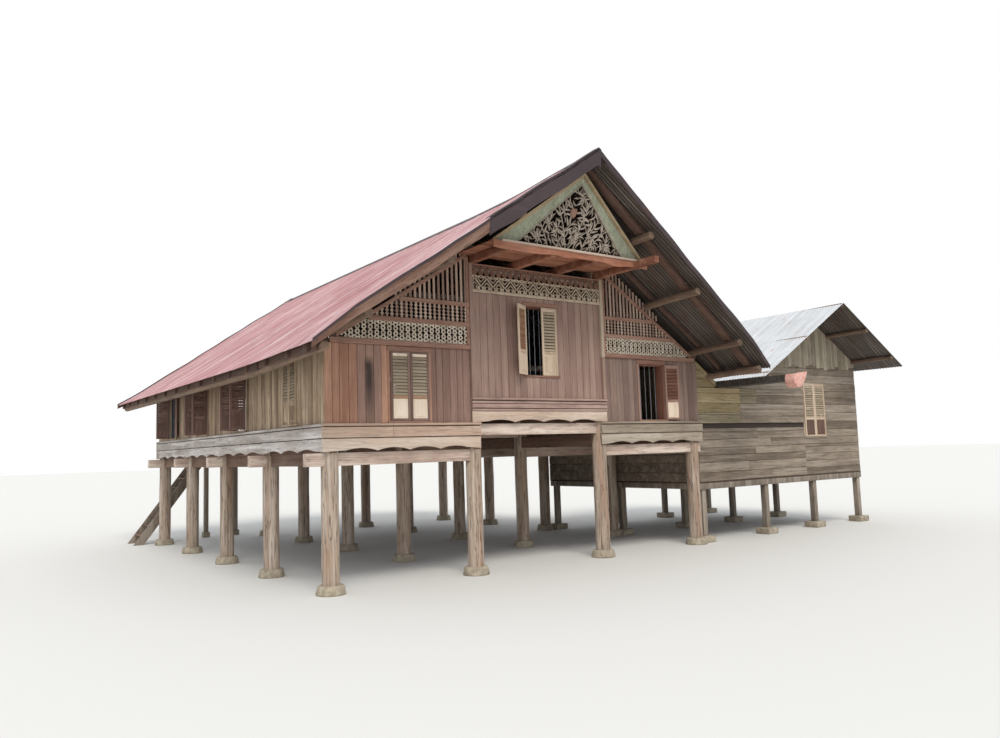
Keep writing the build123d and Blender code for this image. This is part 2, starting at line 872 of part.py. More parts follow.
def side_leaves():
    """Left wall: one closed pair, three open; right wall: closed pairs behind the annex."""
    low = skirt_top + side_window_sill
    pieces = []
    wide = square_open_angle
    left_angles = ((0, 0), (wide, wide), (wide, wide), (wide, folded_back_angle))
    for bay, (far_angle, near_angle) in enumerate(left_angles):
        y = row_lines[bay] + bay_depth / 2
        pair = shutter_pair(0, side_window_width, low, side_window_height, far_angle, near_angle)
        for piece in pair:
            pieces.append(Pos(-wall_face_offset, y, 0) * Rot(0, 0, -90) * piece)
    for bay in right_window_bays:
        y = row_lines[bay] + bay_depth / 2
        for piece in shutter_pair(0, side_window_width, low, side_window_height, 0, 0):
            pieces.append(Pos(right_line + wall_face_offset, y, 0) * Rot(0, 0, 90) * piece)
    return pieces


# Annex.
def annex_post_places():
    """Plan places of the annex posts."""
    ys = (annex_post_inset, annex_depth / 2, annex_depth - annex_post_inset)
    return [(x, y) for x in annex_post_xs for y in ys]


def annex_top(x):
    """Height of the annex roof at x."""
    return annex_ridge_height - annex_roof_pitch * abs(x - annex_ridge_x)


def annex_purlin_places():
    """Axis places of the annex logs."""
    radius = annex_purlin_diameter / 2
    drop = annex_sheet_drop + (radius + seat_gap) * annex_stretch
    right_eave = annex_right + annex_right_eave_reach
    xs = [annex_left_eave + up for up in annex_purlin_ups]
    xs += [right_eave - up for up in annex_right_purlin_ups]
    places = [(x, annex_top(x) - drop) for x in xs]
    places.append((annex_ridge_x, annex_ridge_height - drop))
    return places


def annex_purlins():
    """Logs along the annex roof, carried by its end walls."""
    return [log_along_y(x, z, annex_purlin_diameter, -annex_front_verge + purlin_verge_gap,
                        annex_depth + annex_back_verge - purlin_verge_gap)
            for x, z in annex_purlin_places()]


def annex_front_wall():
    """End wall that follows both roofs, with a valley for the gutter."""
    main_edge = gutter_left - roof_clearance
    below = annex_sheet_drop + roof_clearance
    outline = [(annex_left, annex_floor_level), (annex_right, annex_floor_level),
               (annex_right, annex_top(annex_right) - below),
               (annex_ridge_x, annex_ridge_height - below),
               (gutter_right, annex_top(gutter_right) - below),
               (gutter_right, gutter_bottom), (main_edge, gutter_bottom),
               (main_edge, under_rafters(main_edge - ridge_x) - roof_clearance),
               (annex_upper_left, under_rafters(annex_upper_left - ridge_x) - roof_clearance),
               (annex_upper_left, skirt_top + roof_clearance), (annex_left, skirt_top + roof_clearance)]
    wall = prism_along_y(outline, 0, annex_wall_thickness)
    bottom = annex_floor_level + annex_window_sill
    wall = wall - block(annex_window_centre - annex_window_width / 2,
                        annex_window_centre + annex_window_width / 2,
                        -cut_margin, annex_wall_thickness + cut_margin,
                        bottom, bottom + annex_window_height)
    for x, z in annex_purlin_places():
        wall = wall - log_along_y(x, z, annex_purlin_diameter + 2 * seat_gap,
                                  -cut_margin, annex_wall_thickness + cut_margin)
    out = ridge_x + eave_purlin_reach
    notch = purlin_diameter + 2 * seat_gap
    wall = wall - log_along_y(ridge_x + out, purlin_height(out, purlin_diameter), notch,
                              -cut_margin, annex_wall_thickness + cut_margin)
    return wall


def annex_back_wall():
    """The same wall at the back of the annex."""
    return mirror(annex_front_wall(), about=Plane.XZ.offset(-annex_depth / 2))


def annex_left_wall():
    """Wall below the main floor, beside the outer posts."""
    return block(annex_left, annex_left + annex_wall_thickness, annex_wall_thickness,
                 annex_depth - annex_wall_thickness, annex_floor_level, skirt_top + roof_clearance)


def annex_right_wall():
    """Outer side wall with one window."""
    top = annex_top(annex_right) - annex_sheet_drop - roof_clearance
    wall = block(annex_right - annex_wall_thickness, annex_right, annex_wall_thickness,
                 annex_depth - annex_wall_thickness, annex_floor_level, top)
    bottom = annex_floor_level + annex_window_sill
    middle = annex_depth / 2
    return wall - block(annex_right - annex_wall_thickness - cut_margin, annex_right + cut_margin,
                        middle - annex_window_width / 2, middle + annex_window_width / 2,
                        bottom, bottom + annex_window_height)


def annex_floor_beams():
    """Cross beams on the posts and edge beams between them."""
    beams = []
    half = annex_post_size / 2
    low = annex_beam_bottom
    high = annex_floor_level - annex_floor_thickness
    outer = annex_beam_setback
    rows = ((outer, outer + annex_post_size + annex_post_inset - half),
            (annex_depth / 2 - half, annex_depth / 2 + half),
            (annex_depth - outer - annex_post_size - annex_post_inset + half, annex_depth - outer))
    for y0, y1 in rows:
        beams.append(block(annex_left + outer, annex_right - outer, y0, y1, low, high))
    for (_, y0), (y1, _) in zip(rows, rows[1:]):
        for x in annex_post_xs:
            beams.append(block(x - half, x + half, y0 + seat_gap, y1 - seat_gap, low, high))
    return beams


def annex_floor_slab():
    """Boarded floor over the whole annex, under its walls."""
    setback = annex_beam_setback
    return block(annex_left + setback, annex_right - setback, setback, annex_depth - setback,
                 annex_floor_level - annex_floor_thickness, annex_floor_level)


def annex_sheets(edge):
    """Slope of the annex roof from its ridge to the eave at x = edge."""
    outline = [(edge, annex_top(edge)), (annex_ridge_x, annex_ridge_height),
               (annex_ridge_x, annex_ridge_height - annex_sheet_drop),
               (edge, annex_top(edge) - annex_sheet_drop)]
    return prism_along_y(outline, -annex_front_verge, annex_depth + annex_back_verge)


def gutter():
    """Open box gutter between the two roofs, with a flared spout in front."""
    top = gutter_top
    front = -gutter_front_reach
    back = annex_depth + annex_back_verge
    outer = block(gutter_left, gutter_right, front, back, gutter_bottom, top)
    hollow = block(gutter_left + gutter_wall, gutter_right - gutter_wall, front - cut_margin,
                   back - gutter_wall, gutter_bottom + gutter_wall, top + cut_margin)
    channel = outer - hollow
    flare = spout_flare
    near = [(gutter_left, gutter_bottom), (gutter_right, gutter_bottom), (gutter_right, top),
            (gutter_left, top)]
    far = [(gutter_left - flare, gutter_bottom - flare), (gutter_right + flare, gutter_bottom - flare),
           (gutter_right + flare, top + flare), (gutter_left - flare, top + flare)]
    spout = spout_solid(near, far, front, 0) - spout_solid(near, far, front, gutter_wall)
    side = flare + cut_margin
    lid = block(gutter_left - side, gutter_right + side, front - spout_length - cut_margin, front,
                top - gutter_wall, top + side)
    return channel + (spout - lid)


def spout_solid(near, far, front, wall):
    """Flared box from the gutter's end; 'wall' draws it in for the hollow."""
    def section(points, y):
        xs = [x for x, _ in points]
        zs = [z for _, z in points]
        wide = max(xs) - min(xs) - 2 * wall
        high = max(zs) - min(zs) - 2 * wall
        middle = ((max(xs) + min(xs)) / 2, (max(zs) + min(zs)) / 2)
        plane = Plane(origin=(middle[0], y, middle[1]), x_dir=(1, 0, 0), z_dir=(0, -1, 0))
        return plane * Rectangle(wide, high)
    return loft([section(near, front), section(far, front - spout_length)])


def annex_leaves():
    """Closed louvred pairs on the front, back and outer side of the annex."""
    bottom = annex_floor_level + annex_window_sill
    front = shutter_pair(annex_window_centre, annex_window_width, bottom, annex_window_height, 0, 0)
    back = [mirror(piece, about=Plane.XZ.offset(-annex_depth / 2)) for piece in front]
    side = shutter_pair(0, annex_window_width, bottom, annex_window_height, 0, 0)
    side = [Pos(annex_right, annex_depth / 2, 0) * Rot(0, 0, 90) * piece for piece in side]
    return front + back + side


# Back stair.
def landing_post_places():
    """Outer posts of the landing."""
    half = landing_post_size / 2
    y = landing_front + landing_depth - half
    return [(landing_left + half, y), (landing_left + landing_width - half, y)]


def landing():
    """Boarded landing at the back doorway."""
    return block(landing_left, landing_left + landing_width, landing_front, landing_front + landing_depth,
                 landing_top - landing_thickness, landing_top)


def square_posts(places, size, top):
    """Slim squared posts on their pads."""
    half = size / 2
    return [block(x - half, x + half, y - half, y + half, pad_height, top) for x, y in places]


def stair_strings():
    """Two sloping strings from the ground to the landing."""
    foot_x = landing_left - stair_run
    rate = landing_top / stair_run
    slope = sqrt(1 + rate * rate)
    drop = stair_string_depth * slope
    low_x = foot_x + drop / rate
    outline = [(foot_x, 0), (low_x, 0), (landing_left, landing_top - drop), (landing_left, landing_top)]
    y0 = landing_front + landing_depth - stair_width
    strings = []
    for y in (y0, y0 + stair_width - stair_string_thickness):
        strings.append(prism_along_y(outline, y, y + stair_string_thickness))
    return strings


def stair_treads():
    """Level treads between the strings."""
    y0 = landing_front + landing_depth - stair_width + stair_string_thickness
    y1 = landing_front + landing_depth - stair_string_thickness
    rise = landing_top / (stair_tread_count + 1)
    treads = []
    for i in range(1, stair_tread_count + 1):
        z = rise * i
        x = landing_left - stair_run + stair_run * z / landing_top
        treads.append(block(x, x + stair_tread_depth, y0, y1, z - stair_tread_thickness, z))
    return treads


# Main frame.
left_posts = post_row(left_line)
left_inner_posts = post_row(left_inner_line)
right_inner_posts = post_row(right_inner_line)
right_posts = post_row(right_line)
keep("stone_pads", pads())
keep("outer_posts", left_posts + right_posts)
keep("inner_posts", left_inner_posts + right_inner_posts)
keep("tie_beams", tie_list)
keep("long_beams", long_list)
keep("floor_joists", joists())

floor_edge = skirt_cap_back
aisle_floor_end = bearer_width / 2
left_floor = floor_slab(-floor_edge, left_inner_line + aisle_floor_end, 0,
                        left_posts + left_inner_posts + nave_tie_list)
right_floor = floor_slab(right_inner_line - aisle_floor_end, right_line + floor_edge, 0,
                         right_posts + right_inner_posts + nave_tie_list)
nave_floor = floor_slab(nave_left, nave_right, nave_raise, left_inner_posts + right_inner_posts)
keep("floors", [left_floor, nave_floor, right_floor, annex_floor_slab()])

# Skirts, front and back.
left_arcs = scallops(left_line, left_inner_line, front_scallops)
nave_arcs = scallops(left_inner_line, right_inner_line, front_scallops)
outer_x = skirt_back_offset + grooved_board_thickness
front_left_skirt = front_skirt(-outer_x, left_inner_line + aisle_skirt_overlap, 0, left_arcs)
front_left_skirt = front_left_skirt - left_inner_posts[0]
front_right_skirt = mirrored_x(front_left_skirt)
front_nave_skirt = front_skirt(nave_left, nave_right, nave_raise, nave_arcs)
keep("aisle_skirts", [front_left_skirt, front_right_skirt, mirrored_y(front_left_skirt),
                      mirrored_y(front_right_skirt)])
keep("nave_skirts", [front_nave_skirt, mirrored_y(front_nave_skirt)])
side_skirt = left_side_skirt()
keep("side_skirts", [side_skirt, mirrored_x(side_skirt)])

# Walls.
left_wall_piece = wall_with_openings(-wall_face_offset, nave_left, skirt_top, aisle_wall_top,
                                     [aisle_opening(left_window_centre)])
right_wall_piece = wall_with_openings(nave_right, width + wall_face_offset, skirt_top, aisle_wall_top,
                                      [aisle_opening(right_window_centre)])
back_left_piece = wall_with_openings(-wall_face_offset, nave_left, skirt_top, aisle_wall_top, [doorway()])
back_right_piece = wall_with_openings(nave_right, width + wall_face_offset, skirt_top, aisle_wall_top,
                                      [aisle_opening(width - left_window_centre)])
keep("front_left_wall", [left_wall_piece])
keep("front_nave_wall", [nave_wall([nave_opening()])])
keep("front_right_wall", [right_wall_piece])
keep("back_aisle_walls", [mirrored_y(back_left_piece), mirrored_y(back_right_piece)])
keep("back_nave_wall", [mirrored_y(nave_wall([nave_opening()]))])
keep("left_side_wall", [side_wall(range(bay_count))])
keep("right_side_wall", [mirrored_x(side_wall(right_window_bays))])
lattice = left_lattice()
keep("front_lattices", [lattice, mirrored_x(lattice)])
keep("back_lattices", [mirrored_y(lattice), mirrored_y(mirrored_x(lattice))])
band = carved_band()
keep("carved_bands", [band, mirrored_y(band)])

# Gables.
keep("gable_bearers", gable_beam_list)
soffit = gable_soffit()
keep("gable_soffits", [soffit, mirrored_y(soffit)])
panel = gable_panel()
keep("gable_panels", [panel, mirrored_y(panel)])
barge = left_bargeboard()
other_barge = mirrored_x(barge)
keep("left_bargeboards", [barge, mirrored_y(barge)])
keep("right_bargeboards", [other_barge, mirrored_y(other_barge)])

# Roof.
logs = [purlin_at(out) for out in left_purlin_outs()]
logs += [mirrored_x(log) for log in logs]
keep("purlins", logs + [ridge_board()] + annex_purlins())
rafters = left_rafters()
keep("rafters", rafters + [mirrored_x(rafter) for rafter in rafters])
strut_top = purlin_height(ridge_x - aisle_width / 2, purlin_diameter) - purlin_diameter / 2 - seat_gap
struts = [block(aisle_width / 2 - strut_size / 2, aisle_width / 2 + strut_size / 2,
                y - strut_size / 2, y + strut_size / 2, aisle_wall_top + upper_tie_height, strut_top)
          for y in row_lines]
keep("roof_struts", struts + [mirrored_x(strut) for strut in struts])
slope = left_sheets()
keep("left_roof", [slope])
keep("right_roof", [mirrored_x(slope)])
keep("ridge_cap", [ridge_capping()])

# Shutters.
keep("front_shutters", front_leaves())
keep("side_shutters", side_leaves())
keep("back_shutters", back_leaves())

# Annex and stair.
slim_posts = square_posts(annex_post_places(), annex_post_size, annex_beam_bottom)
slim_posts += square_posts(landing_post_places(), landing_post_size, landing_top - landing_thickness)
keep("slim_posts", slim_posts)
keep("annex_beams", annex_floor_beams())
keep("annex_end_walls", [annex_front_wall(), annex_back_wall()])
keep("annex_side_walls", [annex_left_wall(), annex_right_wall()])
keep("annex_left_roof", [annex_sheets(annex_left_eave)])
keep("annex_right_roof", [annex_sheets(annex_right + annex_right_eave_reach)])
keep("annex_shutters", annex_leaves())
keep("valley_gutter", [gutter()])
keep("stair_landing", [landing()])
keep("stair_strings", stair_strings())
keep("stair_treads", stair_treads())

os.makedirs("parts", exist_ok=True)
for name, solids in nodes.items():
    shape = solids[0] if len(solids) == 1 else Compound(children=solids)
    export_step(shape, f"parts/{name}.step")
print(len(nodes), "nodes")
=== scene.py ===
import math
import random

import bmesh
import bpy
from mathutils import Matrix, Vector, noise


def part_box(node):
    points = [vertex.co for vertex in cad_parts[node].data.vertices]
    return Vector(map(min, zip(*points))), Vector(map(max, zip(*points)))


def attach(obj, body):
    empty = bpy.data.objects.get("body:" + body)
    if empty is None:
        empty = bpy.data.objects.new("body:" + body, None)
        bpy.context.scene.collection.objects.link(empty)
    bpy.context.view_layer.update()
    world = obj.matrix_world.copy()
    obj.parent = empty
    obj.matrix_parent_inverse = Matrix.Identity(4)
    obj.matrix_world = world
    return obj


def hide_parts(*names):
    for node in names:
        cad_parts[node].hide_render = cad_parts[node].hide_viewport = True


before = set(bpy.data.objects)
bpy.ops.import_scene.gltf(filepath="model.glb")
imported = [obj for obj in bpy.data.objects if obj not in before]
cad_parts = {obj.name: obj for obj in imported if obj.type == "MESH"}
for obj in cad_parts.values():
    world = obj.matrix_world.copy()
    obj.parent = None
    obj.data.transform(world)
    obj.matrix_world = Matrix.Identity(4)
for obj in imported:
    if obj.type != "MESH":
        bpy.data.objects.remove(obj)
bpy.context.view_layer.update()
# The posts' wander uses noise vectors, which start from the clock unless they are seeded.
random.seed(41)
noise.seed_set(41)
bpy.ops.object.select_all(action="DESELECT")
print("frame loaded")

# Every place below is in metres from the middle of the corner post nearest the camera, with its pad on z 0.
postRadius = 0.135
cornerPost = Vector(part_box("outer_posts")[0]) + Vector((postRadius, postRadius, 0))
cornerPost.z = 0

house = {"postLines": (0.0, 2.64, 5.56, 8.2), "rows": (0.0, 2.514, 5.028, 7.542, 10.056), "wallOut": 0.13,
         "skirtTop": 2.56, "aisleTop": 3.81, "naveLeft": 2.54, "naveRight": 5.66, "naveBottom": 2.99,
         "naveBoardTop": 4.83, "naveTop": 5.34, "ridgeX": 4.1, "ridgeZ": 6.96, "pitch": 0.68, "roofHalf": 4.97,
         "vergeLow": 1.42, "vergeLean": 0.44}
left1, inner1, inner2, width = house["postLines"]
rows, depth, wallOut = house["rows"], house["rows"][-1], house["wallOut"]
skirtTop, aisleTop, naveLeft, naveRight = (house[key] for key in ("skirtTop", "aisleTop", "naveLeft", "naveRight"))
ridgeX, ridgeZ, roofHalf, roofPitch = (house[key] for key in ("ridgeX", "ridgeZ", "roofHalf", "pitch"))


# Colours and nodes. A colour is an sRGB hex string or a plain grey level.
def shade(colour):
    if not isinstance(colour, str):
        return (colour, colour, colour, 1.0)
    parts = [int(colour[i:i + 2], 16) / 255 for i in (1, 3, 5)]
    return tuple(c / 12.92 if c <= 0.04045 else ((c + 0.055) / 1.055) ** 2.4 for c in parts) + (1.0,)


def addNode(tree, kind, settings=None, links=None, out=0):
    node = tree.nodes.new("ShaderNode" + kind)
    for key, value in (settings or {}).items():
        if key == "stops":
            ramp = node.color_ramp
            while len(ramp.elements) < len(value):
                ramp.elements.new(0.5)
            for element, (position, colour) in zip(ramp.elements, value):
                element.position, element.color = position, shade(colour)
        elif isinstance(key, str) and hasattr(node, key):
            setattr(node, key, value)
        else:
            node.inputs[key].default_value = value
    for key, source in (links or {}).items():
        tree.links.new(source, node.inputs[key])
    return node if out is None else node.outputs[out]


def newLook(name):
    look = bpy.data.materials.new(name)
    look.use_nodes = True
    tree = look.node_tree
    return look, tree, addNode(tree, "TexCoord", out="Object")


# Even stops along a ramp
def spread(colours):
    return [(i / (len(colours) - 1), colour) for i, colour in enumerate(colours)]


# Each layer lays its colour over what is below it, as far as its ramp lets the field through.
def layered(tree, colour, layers):
    for field, stops, tint in layers:
        mask = addNode(tree, "ValToRGB", {"stops": stops}, {"Fac": field})
        colour = addNode(tree, "Mix", {"data_type": "RGBA", 7: shade(tint)}, {0: mask, 6: colour}, 2)
    return colour


def finished(look, colour, rough, metal=0.0, bump=None):
    tree = look.node_tree
    shader = tree.nodes["Principled BSDF"]
    tree.links.new(colour, shader.inputs["Base Color"])
    shader.inputs["Roughness"].default_value = rough
    shader.inputs["Metallic"].default_value = metal
    if bump:
        field, strength, high = bump
        normal = addNode(tree, "Bump", {"Strength": strength, "Distance": high}, {"Height": field})
        tree.links.new(normal, shader.inputs["Normal"])
    return look


# Sawn or planed timber left to the weather. grainMm is the distance between dark grain lines, and along is
# the axis the boards run on. Each board has its own tone, so a wall reads as separate boards.
def weatheredTimber(name, along, grainMm, contrast, stained, bleached, cracks, colours, stainTop=None, sloped=0.0):
    look, tree, place = newLook(name)
    bleach, stain, *tones = colours.split()
    if sloped:
        place = addNode(tree, "Mapping", {"Rotation": (0, sloped, 0)}, {"Vector": place})
    tone = addNode(tree, "Attribute", {"attribute_name": "tone"}, out="Fac")
    shift = addNode(tree, "VectorMath", {"operation": "SCALE", 0: (31.0, 17.0, 23.0)}, {"Scale": tone})
    own = addNode(tree, "VectorMath", {"operation": "ADD"}, {0: place, 1: shift})
    across = 200 / grainMm
    fields = []
    for wide, long, settings in ((across, across / 28, (5.0, 5.0, 0.62, 0.35)), (9.0, 0.55, (1.0, 4.0, 0.6, 0.0)),
                                 (16.0, 0.7, (1.0, 3.0, 0.55, 0.0)))[:3 if cracks else 2]:
        scales = [long if axis == along else wide for axis in "xyz"]
        stretched = addNode(tree, "Mapping", {"Scale": scales}, {"Vector": own})
        fields.append(addNode(tree, "TexNoise", dict(zip(("Scale", "Detail", "Roughness", "Distortion"), settings)),
                              {"Vector": stretched}))
    grain, streak = fields[:2]
    patch = addNode(tree, "TexNoise", {"Scale": 1.7, "Detail": 5.0, "Roughness": 0.62}, {"Vector": place})
    mottle = addNode(tree, "Math", {"operation": "MULTIPLY_ADD", 1: 0.9, 2: -0.31}, {0: patch})
    mixed = addNode(tree, "Math", {"operation": "MULTIPLY_ADD", 1: 0.72}, {0: tone, 2: mottle})
    base = addNode(tree, "ValToRGB", {"stops": spread(tones)}, {"Fac": mixed})
    lines = addNode(tree, "ValToRGB", {"stops": [(0.3, contrast), (0.52, 0.94), (0.75, 1.16)]}, {"Fac": grain})
    colour = addNode(tree, "Mix", {"data_type": "RGBA", "blend_type": "MULTIPLY", 0: 1.0}, {6: base, 7: lines}, 2)
    layers = [(streak, [(0.48, 0), (0.72, bleached)], bleach), (streak, [(0.24, stained), (0.46, 0)], stain)]
    if cracks:
        layers.append((fields[2], [(0.478, 0), (0.5, cracks), (0.522, 0)], "#2c211b"))
    colour = layered(tree, colour, layers)
    if stainTop:
        # The streak hangs from (x, z) in stainTop, narrow and soft at its sides, and fades near its foot.
        middle, high = stainTop
        at = addNode(tree, "SeparateXYZ", {}, {0: place}, None)
        wander = addNode(tree, "Math", {"operation": "MULTIPLY_ADD", 1: 0.09, 2: -0.045 - middle - cornerPost.x},
                         {0: patch})
        aside = addNode(tree, "Math", {"operation": "ADD"}, {0: at.outputs["X"], 1: wander})
        away = addNode(tree, "Math", {"operation": "ABSOLUTE"}, {0: aside})
        soak = addNode(tree, "MapRange", {"From Min": 0.1, "From Max": 0.03}, {"Value": away})
        for start, end, least, most in ((high, high - 0.16, 0.0, 1.0), (high - 1.05, high - 0.45, 0.35, 0.95)):
            fade = addNode(tree, "MapRange", {"From Min": start, "From Max": end, "To Min": least, "To Max": most},
                           {"Value": at.outputs["Z"]})
            soak = addNode(tree, "Math", {"operation": "MULTIPLY"}, {0: soak, 1: fade})
        colour = addNode(tree, "Mix", {"data_type": "RGBA", 7: shade("#3a2f2b")}, {0: soak, 6: colour}, 2)
    tree.nodes["Principled BSDF"].inputs["IOR"].default_value = 1.45
    return finished(look, colour, 0.82, bump=(grain, 0.35, 0.004))


# The sheets' waves, which the roof steel needs to darken its valleys
wave = {"start": -1.88, "long": 0.076, "deep": 0.017}


# Corrugated steel. Rain runs down its slope along x, so streaks and rust are drawn out that way; the finest pale
# lines, along the ridges, are painted highlights. The valleys of the waves are drawn darker, and ribs is how much.
def roofSteel(name, colours, rustFrom, metal, rough, lines, ribs):
    look, tree, place = newLook(name)
    paleStreakAndHighlight, darkLine, rust, *tones = colours.split()
    tone = addNode(tree, "Attribute", {"attribute_name": "tone"}, out="Fac")
    patch = addNode(tree, "TexNoise", {"Scale": 1.1, "Detail": 6.0, "Roughness": 0.68}, {"Vector": place})
    mottle = addNode(tree, "Math", {"operation": "MULTIPLY_ADD", 1: 1.3, 2: -0.35}, {0: patch})
    mixed = addNode(tree, "Math", {"operation": "MULTIPLY_ADD", 1: 0.4}, {0: tone, 2: mottle})
    layers = []
    for scales, shift, size, detail, even, low, high, tint, most in (
            ((0.35, 5.0, 0.35), (3.0, 3.0, 3.0), 1.0, 4.0, 0.6, 0.5, 0.7, paleStreakAndHighlight, lines * 0.35),
            ((0.7, 3.0, 0.7), (9.0, 9.0, 9.0), 1.0, 4.0, 0.6, 0.56, 0.74, rust, lines * 0.3),
            ((0.8, 15.0, 0.8), (7.0, 7.0, 7.0), 1.0, 4.0, 0.6, 0.52, 0.57, darkLine, lines * 0.75),
            # The finest pale lines, along the ridges, are painted highlights.
            ((0.5, 20.0, 0.5), (0.0, 0.0, 0.0), 1.0, 4.0, 0.6, 0.56, 0.6, paleStreakAndHighlight, lines * 0.85),
            ((1.6, 7.0, 1.6), (3.0, 5.0, 2.0), 1.3, 6.0, 0.72, rustFrom, rustFrom + 0.12, rust, 0.85)):
        stretched = addNode(tree, "Mapping", {"Scale": scales, "Location": shift}, {"Vector": place})
        field = addNode(tree, "TexNoise", {"Scale": size, "Detail": detail, "Roughness": even}, {"Vector": stretched})
        layers.append((field, [(low, 0), (high, most)], tint))
    colour = layered(tree, addNode(tree, "ValToRGB", {"stops": spread(tones)}, {"Fac": mixed}), layers)
    if ribs:
        # The colour is drawn darker in the valleys of the waves.
        row = addNode(tree, "SeparateXYZ", {}, {0: place}, "Y")
        turn = 2 * math.pi / wave["long"]
        start = wave["start"] + cornerPost.y
        phase = addNode(tree, "Math", {"operation": "MULTIPLY_ADD", 1: turn, 2: -turn * start}, {0: row})
        sine = addNode(tree, "Math", {"operation": "SINE"}, {0: phase})
        valleyDarkening = addNode(tree, "MapRange", {"From Min": -0.9, "From Max": 0.2, "To Min": 1 - ribs, "To Max": 1.0},
                       {"Value": sine})
        colour = addNode(tree, "VectorMath", {"operation": "SCALE"}, {0: colour, "Scale": valleyDarkening})
    return finished(look, colour, rough, metal)


# Painted metal and rough stone, speckled evenly
def speckled(name, scale, detail, rough, colours, low=0.35, high=0.65, bump=0.0):
    look, tree, place = newLook(name)
    spots = addNode(tree, "TexNoise", {"Scale": scale, "Detail": detail, "Roughness": 0.7}, {"Vector": place})
    stops = [(low + (high - low) * share, colour) for share, colour in spread(colours)]
    colour = addNode(tree, "ValToRGB", {"stops": stops}, {"Fac": spots})
    return finished(look, colour, rough, bump=bump and (spots, bump, 0.01))


